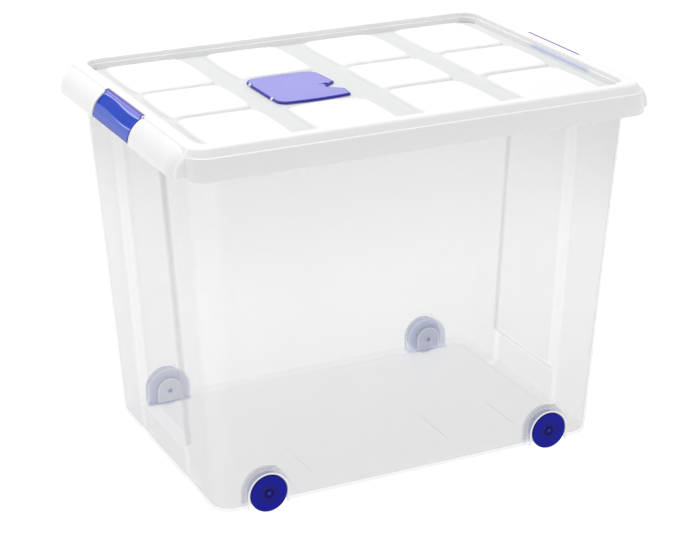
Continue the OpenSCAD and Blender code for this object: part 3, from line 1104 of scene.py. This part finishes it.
@dataclass
class Lid:
    """The milky lid: a rim with a skirt, quarter-round end lips and a quilted panel with a hatch opening."""

    well_half_l: float = 0.268
    well_half_w: float = 0.190
    well_r: float = 0.020
    panel_z: float = 0.4525
    pillow_h: float = 0.004
    skin: float = 0.002
    skirt_t: float = 0.0024
    seat_z: float = 0.447
    shoulder_z: float = 0.456
    lip_r: float = 0.032
    lip_half_w: float = 0.185
    lip_t: float = 0.0025
    bay_half_w: float = 0.061
    hinge_x: float = 0.284
    hinge_z: float = 0.4634
    barrel_r: float = 0.0024
    stub_r: float = 0.00156
    lug_t: float = 0.0025
    columns: tuple[Span, ...] = ((-0.252, -0.144), (-0.1195, -0.0145), (0.0145, 0.1195), (0.144, 0.252))
    rows: tuple[Span, ...] = ((-0.184, -0.058), (-0.054, 0.054), (0.058, 0.184))
    pillow_flank: float = 0.005
    pillow_crown: float = 0.0006
    hatch_cell: tuple[int, int] = (1, 1)
    front_gap: float = 0.008
    hole_half_l: float = 0.034
    hole_half_w: float = 0.048
    hole_x: float = -0.074
    hole_r: float = 0.008
    rim_rib_x: tuple[float, ...] = (-0.2235, -0.1125, 0.106, 0.231)
    rim_rib_y: tuple[float, ...] = (-0.13, -0.085, 0.085, 0.13)
    rim_rib_half: float = 0.001
    lip_reach: float = 0.026
    lip_ease: float = 0.0145
    lip_end: float = 0.012
    pivot_x: float = -0.1147
    pivot_z: float = 0.4543
    pivot_r: float = 0.0021
    pivot_pin_r: float = 0.00106
    ear_y: float = 0.0305
    ear_t: float = 0.004
    low: Vector = field(default_factory=lambda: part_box("lid")[0])
    high: Vector = field(default_factory=lambda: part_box("lid")[1])

    def rim(self) -> bpy.types.Object:
        """Skins the rim's cross-section round the well: inner wall, top, shoulder, ledge, skirt and back."""
        wl, ww, wr, t = self.well_half_l, self.well_half_w, self.well_r, self.skin
        top, skirt = self.high.z, self.low.z
        ol, ow = self.high.x - 0.014, self.high.y
        s, st = self.shoulder_z, self.skirt_t
        corners = [
            (wl + t, ww + t, wr + t, self.seat_z), (wl, ww, wr, self.seat_z),
            (wl, ww, wr, self.panel_z + 0.007), (wl + 0.001, ww + 0.001, wr + 0.001, self.panel_z + 0.0076),
            (wl + 0.0014, ww + 0.0014, wr + 0.0014, top),
            (ol - 0.006, ow - 0.0115, 0.024, top), (ol - 0.002, ow - 0.0055, 0.026, s + 0.0004),
            (ol - 0.002, ow - 0.0035, 0.026, s), (ol, ow, 0.026, skirt), (ol - st, ow - st, 0.024, skirt),
            (ol - 0.002 - st, ow - 0.0035 - st, 0.024, s - st),
            (ol - 0.002 - st, ow - 0.0055 - st, 0.024, s - st),
            (ol - 0.006 - st, ow - 0.0115 - st, 0.022, top - st),
            (wl + 0.0014 + t, ww + 0.0014 + t, wr + t, top - st),
            (wl + t, ww + t, wr + t, self.seat_z),
        ]
        softness = [0, 0.0004, 0.0006, 0.0005, 0.0022, 0.004, 0.0008, 0.001,
                    0.0008, 0.0008, 0.001, 0.001, 0.003, 0.002, 0]
        spec = soften(corners, softness, 5)[:-1]
        return loft("rim", RingPlan(corner_steps=14, end_loose=8, side_loose=14).rings(spec), closed=True)

    def lip(self, side: float, shrink: float, y0: float, y1: float, foot: float, ease: float,
            reach: float = 0.007) -> bpy.types.Object:
        """A quarter-round bar along Y at one end of the lid.

        The outline is a quarter circle about the lip's centre, closed by straight legs down to the foot.
        Over the last stretch at each end the radius falls along a quarter ellipse.

        Args:
            side: -1 for the left end, 1 for the right.
            shrink: How much less than the lip's radius the bar has.
            y0: Its low end.
            y1: Its high end.
            foot: Height of its lower face.
            ease: How much the radius falls at the ends.
            reach: Length of the stretch over which it falls.

        Returns:
            The bar.
        """
        cx, cz = self.high.x - self.lip_r, self.high.z - self.lip_r
        angle = np.linspace(math.pi / 2, 0, 25)
        y = np.concatenate([y0 + reach * (1 - np.cos(np.linspace(0, math.pi / 2, 13))),
                            y1 - reach * (1 - np.cos(np.linspace(math.pi / 2, 0, 13)))])
        near = np.clip(np.minimum(y - y0, y1 - y) / reach, 0, 1)
        r = (self.lip_r - shrink - ease * (1 - np.sqrt(1 - (1 - near) ** 2)))[:, None]
        x, z = cx + r * np.cos(angle), cz + r * np.sin(angle)
        ones = np.ones((len(y), 1))
        x = np.concatenate([x, x[:, -1:], cx * ones], 1)
        z = np.concatenate([z, foot * ones, foot * ones], 1)
        rings = np.stack([side * x, np.broadcast_to(y[:, None], x.shape), z], 2)
        return loft("lip", rings)

    def pillows(self) -> list[Pillow]:
        """Every raised cell but the one under the hatch. The cell in front of the hatch is shorter."""
        column, row = self.hatch_cell
        cells = {(i, j): Pillow(*along, *across) for i, along in enumerate(self.columns)
                 for j, across in enumerate(self.rows)}
        del cells[column, row]
        cells[column, row - 1].y1 -= self.front_gap
        return list(cells.values())

    def lines(self, edges: tuple[Span, ...], limit: float) -> Array:
        """Grid lines that are dense round the pillows' edges.

        Args:
            edges: Low and high edge of each cell.
            limit: Where the lines end.

        Returns:
            The lines' places in order.
        """
        dense = np.linspace(-0.0075, 0.0075, 15)
        near = [edge + dense for pair in edges for edge in pair]
        inside = [np.linspace(low + 0.012, high - 0.012, 9) for low, high in edges]
        places = np.concatenate([*near, *inside, np.linspace(-limit, limit, 5)])
        places = np.unique(np.round(places[np.abs(places) <= limit], 5))
        return places[np.concatenate([[True], np.diff(places) > 0.0004])]

    def plug(self, grow: float, low: float, high: float) -> bpy.types.Object:
        """A block that fills the well's outline, grown by a margin, between two heights."""
        well = [self.well_half_l + grow, self.well_half_w + grow, self.well_r + grow]
        return loft("plug", RingPlan().rings(np.array([[*well, low], [*well, high]])))

    def panel(self) -> bpy.types.Object:
        """The quilted panel: its top is the channel floor plus each pillow's height and its slight crown, and
        its underside is the same surface one skin lower."""
        x, y = np.meshgrid(self.lines(self.columns, self.well_half_l + 0.001),
                           self.lines(self.rows, self.well_half_w + 0.001), indexing="ij")
        z = np.full_like(x, self.panel_z)
        for pillow in self.pillows():
            share = pillow.height(x, y, self.pillow_flank)
            u = (x - (pillow.x0 + pillow.x1) / 2) / (pillow.x1 - pillow.x0) * 2
            v = (y - (pillow.y0 + pillow.y1) / 2) / (pillow.y1 - pillow.y0) * 2
            crown = np.clip((1 - u**2) * (1 - v**2), 0, 1)
            z = z + share * (self.pillow_h + self.pillow_crown * crown)
        sheet = sheet_solid("panel", np.stack([x, y, z], 2), np.stack([x, y, z - self.skin], 2))
        combine(sheet, [self.plug(0.001, self.panel_z - 0.02, self.panel_z + 0.02)], Cut.KEEP_COMMON)
        return sheet

    def ribs(self) -> list[bpy.types.Object]:
        """Stiffening plates in the hollow of the rim, across its long and short sides."""
        found = []
        top, skirt, half = self.high.z - 0.001, self.seat_z + 0.001, self.rim_rib_half
        for x in self.rim_rib_x:
            for side in (-1, 1):
                y0, y1 = sorted((side * (self.well_half_w + 0.001), side * (self.high.y - 0.014)))
                found.append(box_solid("rib", (x - half, y0, skirt), (x + half, y1, top)))
        for y in self.rim_rib_y:
            for side in (-1, 1):
                x0, x1 = sorted((side * (self.well_half_l + 0.001), side * (self.hinge_x - 0.004)))
                found.append(box_solid("rib", (x0, y - half, skirt), (x1, y + half, top)))
        return found

    def rod(self, x: float, z: float, r: float, y0: float, y1: float) -> bpy.types.Object:
        """A round bar along Y, as a tool for combine."""
        turn = np.linspace(0, 2 * math.pi, 40, endpoint=False)
        outline = np.stack([x + r * np.cos(turn), z + r * np.sin(turn)], 1)
        return prism("rod", outline, np.array(y0), np.array(y1))

    def build(self) -> bpy.types.Object:
        """The lid as one closed mesh."""
        lid = self.rim()
        lip_z = self.high.z - self.lip_r
        bay, ear = self.bay_half_w, self.lug_t
        end = self.lip_half_w + self.lip_end
        lips = [self.lip(s, 0, -end, end, lip_z, self.lip_ease, self.lip_reach) for s in (-1, 1)]
        combine(lid, lips, Cut.ADD)
        hollows = []
        for s in (-1, 1):
            for y0, y1 in ((-self.lip_half_w + ear, -bay - ear), (bay + ear, self.lip_half_w - ear)):
                hollows.append(self.lip(s, self.lip_t + 0.0006, y0, y1, self.low.z - 0.005, 0.006, 0.014))
        combine(lid, hollows, Cut.REMOVE)
        combine(lid, self.ribs(), Cut.ADD)
        combine(lid, [self.plug(0, self.panel_z, 0.5)], Cut.REMOVE)
        combine(lid, [self.plug(self.skin, self.seat_z - 0.03, self.seat_z)], Cut.REMOVE)
        ring = self.plug(self.skin, self.seat_z, self.panel_z)
        combine(ring, [self.plug(0, self.seat_z - 0.001, self.panel_z + 0.001)], Cut.REMOVE)
        combine(lid, [ring, self.panel()], Cut.ADD)
        bays = []
        for s in (-1, 1):
            x0, x1 = sorted((s * (self.hinge_x - self.barrel_r - 0.0004), s * 0.32))
            bays.append(box_solid("bay", (x0, -bay, 0.42), (x1, bay, 0.48)))
        combine(lid, bays, Cut.REMOVE)
        hole = np.array([[self.hole_half_l, self.hole_half_w, self.hole_r, z] for z in (0.44, 0.47)])
        opening = RingPlan().rings(hole) + [self.hole_x, 0, 0]
        combine(lid, [loft("hole", opening)], Cut.REMOVE)
        combine(lid, self.ears(), Cut.ADD)
        rods = [self.rod(s * self.hinge_x, self.hinge_z, self.stub_r, -bay - ear, bay + ear) for s in (-1, 1)]
        y0, y1 = self.ear_y - 0.005, self.ear_y + 0.0095
        for s in (-1, 1):
            rods.append(self.rod(self.pivot_x, self.pivot_z, self.pivot_pin_r, *sorted((s * y0, s * y1))))
        combine(lid, rods, Cut.REMOVE)
        lid.name = "milky_lid"
        return lid

    def ears(self) -> list[bpy.types.Object]:
        """The solids that carry the clips' stubs and the flap's pins."""
        found = []
        for s in (-1, 1):
            for t in (-1, 1):
                y0, y1 = sorted((t * self.bay_half_w, t * (self.bay_half_w + self.lug_t)))
                bar = self.lip(s, 0.0001, y0 - 0.008, y1 + 0.008, self.low.z, 0)
                x0, x1 = sorted((s * (self.hinge_x - 0.008), s * (self.hinge_x + 0.008)))
                lug = box_solid("lug", (x0, y0, self.hinge_z - 0.011), (x1, y1, 0.48))
                combine(bar, [lug], Cut.KEEP_COMMON)
                found += [bar, self.rod(s * self.hinge_x, self.hinge_z, self.barrel_r, y0, y1)]
        for t in (-1, 1):
            y0, y1 = sorted((t * self.ear_y, t * (self.ear_y + self.ear_t)))
            turn = np.linspace(0, math.pi, 17)
            r, foot_z = self.pivot_r, self.panel_z - 0.0005
            outline = np.stack([self.pivot_x + r * np.cos(turn), self.pivot_z + r * np.sin(turn)], 1)
            foot = np.array([[self.pivot_x - r, foot_z], [self.pivot_x + r, foot_z]])
            found.append(prism("ear", np.concatenate([outline, foot]), np.array(y0), np.array(y1)))
        return found


@dataclass
class Clip:
    """An end clip: a quarter-round plate with a thumb hollow, a hinge barrel, stubs and catch ribs."""

    side: float
    lip_r: float = 0.032
    t: float = 0.0025
    hinge_x: float = 0.284
    hinge_z: float = 0.4634
    barrel_r: float = 0.0024
    stub_r: float = 0.0015
    half_w: float = 0.060
    top_x: float = 0.304
    top_z: float = 0.466
    low_z: float = 0.4355
    wave_h: float = 0.0016
    hollow_t: float = 0.0009
    hollow_s: Span = (0.0066, 0.0180)
    bead_t: float = 0.0005
    catch_y: tuple[float, ...] = (-0.038, 0.0, 0.038)
    catch_half_w: float = 0.008

    def plate(self) -> bpy.types.Object:
        """The curved plate. A point's radius is the lip's, less a hollow in the middle band whose two edges
        wave along Y like one period of a sine, plus a bead near the low edge."""
        cx, cz = self.top_x - self.lip_r, self.top_z - self.lip_r
        start = math.acos((self.hinge_x - cx) / self.lip_r)
        angle = np.linspace(start, math.asin((self.low_z - cz) / self.lip_r), 49)
        arc = self.lip_r * (start - angle)
        y = np.linspace(-self.half_w, self.half_w, 61)
        s, v = np.meshgrid(arc, y / self.half_w, indexing="ij")
        wave = self.wave_h * np.sin(v * math.pi)
        upper, lower = (middle - wave * 0.8 for middle in self.hollow_s)
        width = bump(v, -0.9, 0.9, 0.07)
        hollow = smooth_step(s - upper, 0, 0.0022) * (1 - smooth_step(s - lower, 0, 0.0022)) * width
        bead = self.bead_t * np.exp(-(((arc[-1] - s) - 0.003) / 0.0011) ** 2)
        edge = 0.0008 * smooth_step(np.abs(v), 0.975, 1.0)
        a = angle[:, None] + 0 * v
        outer = self.lip_r - self.hollow_t * hollow - edge - self.bead_t + bead
        inner = self.lip_r - self.t + 0 * v
        faces = []
        for r in (outer, inner):
            x, z = cx + r * np.cos(a), np.maximum(cz + r * np.sin(a), self.low_z)
            faces.append(np.stack([self.side * x, np.broadcast_to(y, x.shape), z], 2))
        return sheet_solid("plate", faces[0], faces[1])

    def rod(self, r: float, half: float) -> bpy.types.Object:
        """A round bar on the hinge's line."""
        turn = np.linspace(0, 2 * math.pi, 32, endpoint=False)
        outline = np.stack([self.side * self.hinge_x + r * np.cos(turn), self.hinge_z + r * np.sin(turn)], 1)
        return prism("rod", outline, np.array(-half), np.array(half))

    def build(self) -> bpy.types.Object:
        """The clip as one closed mesh."""
        clip = self.plate()
        tools = [self.rod(self.barrel_r, self.half_w), self.rod(self.stub_r, self.half_w + 0.003)]
        x0, x1 = sorted((self.side * (self.top_x - 0.009), self.side * (self.top_x - 0.002)))
        for y in self.catch_y:
            low = (x0, y - self.catch_half_w, self.low_z + 0.001)
            tools.append(box_solid("catch", low, (x1, y + self.catch_half_w, self.low_z + 0.0035)))
        combine(clip, tools, Cut.ADD)
        clip.name = "clip_plate_left" if self.side < 0 else "clip_plate_right"
        return clip


@dataclass
class HatchFlap:
    """The hatch flap: a bowed rectangle with a finger notch, a turned-down edge and two pivot pins."""

    middle_x: float = -0.068
    half_l: float = 0.0485
    half_w: float = 0.057
    bow: float = 0.004
    corner: float = 0.020
    front_corner: float = 0.015
    t: float = 0.002
    dish: float = 0.00004
    pivot_x: float = -0.1147
    pivot_z: float = 0.4543
    pivot_r: float = 0.0014
    pin_r: float = 0.00095
    ear_r: float = 0.0021
    pivot_half_w: float = 0.030
    notch: tuple[tuple[float, float, float], ...] = ((0.0365, -0.014, 0.005), (0.0525, 0.004, 0.001),
                                                     (0.0525, -0.032, 0.001))
    dimple: tuple[float, float, float] = (0.0345, -0.0040, 0.0026)
    low: Vector = field(default_factory=lambda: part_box("hatch_flap")[0])
    high: Vector = field(default_factory=lambda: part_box("hatch_flap")[1])

    def crossing(self, discs: tuple[tuple[float, float, float], ...], rays: Array) -> tuple[Array, Array]:
        """Where rays from the middle enter and leave the convex hull of some discs.

        The hull is every point p with n.p no more than the discs' largest n.c + r, for 720 directions n.

        Args:
            discs: Centre and radius of each disc: x, y, r.
            rays: Unit directions, one row each.

        Returns:
            The entering and leaving distances; a ray that misses enters after it leaves.
        """
        turn = np.linspace(0, 2 * math.pi, 720, endpoint=False)
        n = np.stack([np.cos(turn), np.sin(turn)], 1)
        part = np.array(discs)
        support = (n @ part[:, :2].T + part[:, 2]).max(1)
        along = rays @ n.T
        with np.errstate(divide="ignore", invalid="ignore"):
            reach = support / along
        leave = np.where(along > 1e-9, reach, np.inf).min(1)
        enter = np.where(along < -1e-9, reach, -np.inf).max(1)
        return enter, leave

    def outline(self, count: int = 360) -> Array:
        """Corners of the outline about the flap's middle.

        Args:
            count: Number of corners.

        Returns:
            Their x and y: on each ray, the nearest of the rounded rectangle, the bowed sides and the notch.
        """
        turn = np.linspace(0, 2 * math.pi, count, endpoint=False)
        rays = np.stack([np.cos(turn), np.sin(turn)], 1)
        a, b, r = self.half_l, self.half_w, self.corner
        big_l, big_w = (b * b + self.bow**2) / (2 * self.bow), (a * a + self.bow**2) / (2 * self.bow)
        q = self.front_corner
        shapes = [((r - a, r - b, r), (r - a, b - r, r), (a - r, b - r, r), (a - q, q - b, q)),
                  ((a - big_l, 0.0, big_l),), ((0.0, b - big_w, big_w),), ((0.0, big_w - b, big_w),)]
        reach = np.min([self.crossing(shape, rays)[1] for shape in shapes], axis=0)
        enter, leave = self.crossing(self.notch, rays)
        reach = np.where((enter < leave) & (enter > 0), np.minimum(reach, enter), reach)
        return rays * reach[:, None]

    def build(self) -> bpy.types.Object:
        """The flap as one closed mesh."""
        middle = self.middle_x
        edge = self.outline()
        ahead, back = np.roll(edge, -1, 0), np.roll(edge, 1, 0)
        along = ahead - back
        normal = np.stack([along[:, 1], -along[:, 0]], 1) / np.linalg.norm(along, axis=1)[:, None]
        top, low = self.high.z, self.low.z
        shrink = [(low, 0.0006), (low + 0.0006, 0.0), (top - 0.0016, 0.0), (top - 0.0008, 0.0003),
                  (top - 0.0003, 0.0009), (top - 0.0001, 0.0018)]
        rings = [np.column_stack([edge - normal * inset, np.full(len(edge), z)]) for z, inset in shrink]
        inner = edge - normal * 0.0018
        for share in (0.99, 0.98, 0.97, 0.96, 0.95, 0.94, 0.93, 0.91, 0.88, 0.6, 0.3, 0.05):
            z = top - self.dish * math.sqrt(1 - share)
            rings.append(np.column_stack([inner * share, np.full(len(edge), z)]))
        gap_row = len(rings) - 1
        under = edge - normal * 0.0022
        for share in (0.05, 0.3, 0.6, 0.85, 1.0):
            rings.append(np.column_stack([under * share, np.full(len(edge), top - self.t)]))
        rings.append(np.column_stack([under, np.full(len(edge), low)]))
        points = np.stack(rings) + [middle, 0, 0]
        count = points.shape[1]
        quads = grid_quads(len(points), count, True, True)
        quads = quads[(quads[:, 0] // count) != gap_row].tolist()
        faces = quads + [list(range(row * count, (row + 1) * count)) for row in (gap_row, gap_row + 1)]
        flap = make_piece("flap", points.reshape(-1, 3), faces)
        x, z, r, w = self.pivot_x, self.pivot_z, self.pivot_r, self.pivot_half_w
        turn = np.linspace(0, 2 * math.pi, 32, endpoint=False)
        ring = np.stack([np.cos(turn), np.sin(turn)], 1)
        dx, dy, dr = self.dimple
        bottom, over = low - 0.001, top + 0.001
        circle = [middle + dx, dy] + dr * ring
        dimple = np.stack([np.column_stack([circle, np.full(len(ring), h)]) for h in (top - 0.0007, over)])
        cuts = [box_solid("back_cut", (x - 0.01, -0.06, bottom), (x, 0.06, over)), loft("dimple", dimple)]
        for s in (-1, 1):
            y0, y1 = sorted((s * w, s * (w + 0.005)))
            cuts.append(box_solid("ear_cut", (x - 0.01, y0, bottom), (x + self.ear_r + 0.0006, y1, over)))
        combine(flap, cuts, Cut.REMOVE)
        axis, end = np.array([x, z]), w + 0.004
        combine(flap, [prism("barrel", axis + r * ring, np.array(-w), np.array(w)),
                       prism("pin", axis + self.pin_r * ring, np.array(-end), np.array(end))], Cut.ADD)
        place = vertices(flap)
        flat = place[:, :2] - [middle, 0]
        gap = np.min(np.linalg.norm(flat[:, None] - edge[None], axis=2), axis=1)
        gap = np.minimum(gap, np.abs(np.hypot(flat[:, 0] - dx, flat[:, 1] - dy) - dr) + 0.0004)
        paint(flap, "outline", 1.0 - smooth_step(gap, 0.0020, 0.0032))
        flap.name = "hatch_door"
        return flap


@dataclass
class Wheel:
    """One wheel and its pin: a domed disc with a tyre band and a hub, turned about the axle."""

    place: str
    axle_r: float = 0.003
    head_r: float = 0.0044
    head_t: float = 0.0016
    play: float = 0.00006
    hub_r: float = 0.008
    band_t: float = 0.0035
    disc_t: float = 0.0035
    spoke_half: float = 0.0008

    @property
    def side(self) -> float:
        """-1 for the front of the box, 1 for the rear."""
        return -1.0 if "front" in self.place else 1.0

    def span(self, kind: str) -> tuple[Vector, float, float]:
        """Centre of the CAD wheel or axle, and its inner and outer distance from the middle plane."""
        low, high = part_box(f"{kind}_{self.place}")
        distances = sorted((abs(low.y), abs(high.y)))
        return (low + high) / 2, distances[0], distances[1]

    def wheel(self) -> bpy.types.Object:
        """The wheel: tread, slightly domed face, hub, and a hollow back with spokes."""
        low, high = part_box(f"wheel_{self.place}")
        centre, back, face = self.span("wheel")
        r, bore = (high.z - low.z) / 2, self.axle_r + self.play
        corners = [
            (bore, back + 0.002), (bore, back), (self.hub_r, back), (self.hub_r, face - self.disc_t - 0.001),
            (r - self.band_t, face - self.disc_t - 0.001), (r - self.band_t, back),
            (r, back), (r, face - 0.0002),
            (r - 0.0025, face), (0.010, face - 0.0002), (self.head_r + 0.0012, face - 0.0003),
            (self.head_r + 0.0003, face - self.head_t - 0.0004), (bore, face - self.head_t - 0.0004),
            (bore, back + 0.002),
        ]
        softness = [0, 0.0004, 0.0005, 0.001, 0.001, 0.0006, 0.0015,
                    0.0012, 0.0008, 0.002, 0.0005, 0.0002, 0.0002, 0]
        wheel = turned(f"wheel_{self.place}_turned", soften(corners, softness, 5)[:-1], centre, self.side, 96)
        spokes = []
        middle = np.array([centre.x, centre.z])
        near, far, half = self.hub_r - 0.001, r - 0.003, self.spoke_half
        for a in np.radians(np.arange(30, 390, 60)):
            along, across = np.array([math.cos(a), math.sin(a)]), np.array([-math.sin(a), math.cos(a)])
            corners = ((near, -half), (far, -half), (far, half), (near, half))
            outline = np.array([middle + along * d + across * w for d, w in corners])
            spokes.append(prism("spoke", outline, np.array(self.side * (back + 0.004)),
                                np.array(self.side * (face - self.disc_t))))
        combine(wheel, spokes, Cut.ADD)
        return wheel

    def axle(self) -> bpy.types.Object:
        """The pin: a shank with a chamfered tip and a domed head."""
        centre, inner, outer = self.span("axle")
        shank = self.axle_r - 0.00005
        neck = outer + 0.0002 - self.head_t
        corners = [(0.0, inner), (shank, inner), (shank, neck - 0.0001), (self.head_r, neck - 0.0001),
                   (self.head_r, outer - 0.0002), (self.head_r * 0.6, outer), (0.0011, outer),
                   (0.0009, outer - 0.0004), (0.0, outer - 0.0004)]
        softness = [0, 0.0008, 0.0003, 0.0003, 0.0004, 0.0008, 0.0001, 0.0002, 0]
        path = soften(corners, softness, 4)
        path[0, 0] = path[-1, 0] = 1e-5
        return turned(f"axle_{self.place}_pin", path, centre, self.side, 48)


# ---------------------------------------------------------------- studio


@dataclass(frozen=True)
class Studio:
    """Pale floor, white room, soft lamp and the camera."""

    eye: tuple[float, float, float] = (-1.016328, -2.127845, 1.127501)
    yaw: float = 25.491
    pitch: float = 21.147
    roll: float = -0.4316
    focal: float = 2040.62
    room: float = 0.70
    lamp_place: tuple[float, float, float] = (-0.25, 0.55, 2.7)
    lamp_size: float = 2.0
    lamp_power: float = 40
    aim: tuple[float, float, float] = (0, 0, 0.25)
    floor_half: float = 6.0

    def camera(self) -> None:
        """Places the camera: it looks along the yaw and down by the pitch, then rolls about its view."""
        yaw, pitch, roll = (math.radians(a) for a in (self.yaw, self.pitch, self.roll))
        view = Vector((math.sin(yaw) * math.cos(pitch), math.cos(yaw) * math.cos(pitch), -math.sin(pitch)))
        right = Vector((math.cos(yaw), -math.sin(yaw), 0))
        up = right.cross(view)
        x = math.cos(roll) * right + math.sin(roll) * up
        y = -math.sin(roll) * right + math.cos(roll) * up
        data = bpy.data.cameras.new("camera")
        data.sensor_width = SENSOR_MM
        data.lens = SENSOR_MM * self.focal / FRAME_WIDTH
        camera = bpy.data.objects.new("camera", data)
        turn = Matrix((x, y, -view)).transposed().to_4x4()
        camera.matrix_world = Matrix.Translation(Vector(self.eye)) @ turn
        bpy.context.scene.collection.objects.link(camera)
        bpy.context.scene.camera = camera

    def lamp(self) -> None:
        """A square soft lamp overhead that faces the middle of the box."""
        data = bpy.data.lights.new("overhead", "AREA")
        data.energy, data.size = self.lamp_power, self.lamp_size
        lamp = bpy.data.objects.new("overhead", data)
        view = Vector(self.aim) - Vector(self.lamp_place)
        lamp.rotation_euler = view.to_track_quat("-Z", "Y").to_euler()
        lamp.location = self.lamp_place
        bpy.context.scene.collection.objects.link(lamp)

    def build(self) -> None:
        """Room, floor, lamp and camera."""
        scene = bpy.context.scene
        scene.view_settings.view_transform = "Standard"
        world = bpy.data.worlds.new("room")
        scene.world = world
        world.use_nodes = True
        world.node_tree.nodes["Background"].inputs[0].default_value = (1, 1, 1, 1)
        world.node_tree.nodes["Background"].inputs[1].default_value = self.room
        places = np.linspace(-self.floor_half, self.floor_half, 3)
        x, y = np.meshgrid(places, places, indexing="ij")
        top = np.stack([x, y, 0 * x], 2)
        floor = sheet_solid("studio_floor", top, top - [0, 0, 0.01])
        floor.data.materials.append(StudioFloor().build())
        self.lamp()
        self.camera()
        scene.cycles.transparent_max_bounces = 48


def main() -> None:
    """Builds the sub-assemblies and the studio in order."""
    logging.basicConfig(level=logging.INFO, format="%(name)s %(message)s")
    clear = ClearPlastic().build()
    milky = MilkyPlastic().build()
    clip = ClipPlastic().build()
    deep = WheelPlastic("blue_solid").build()
    # the pin's back colour is painted light on its hidden sides
    pin = WheelPlastic("pin_plastic", dot=(0.12, 0.12, 0.42, 1), back=(0.24, 0.27, 0.62, 1)).build()
    finish_piece(Tub().build(), clear, "tub", ("tub",))
    finish_piece(Lid().build(), milky, "lid", ("lid",))
    for side, name in ((-1.0, "clip_left"), (1.0, "clip_right")):
        finish_piece(Clip(side).build(), clip, name, (name,))
    finish_piece(HatchFlap().build(), FlapPlastic().build(), "hatch_flap", ("hatch_flap",))
    for place in ("front_left", "front_right", "rear_left", "rear_right"):
        wheel = Wheel(place)
        finish_piece(wheel.wheel(), deep, f"wheel_{place}", (f"wheel_{place}",))
        finish_piece(wheel.axle(), pin, "tub", (f"axle_{place}",))
    Studio().build()
    bpy.context.view_layer.update()


if __name__ == "__main__":
    main()
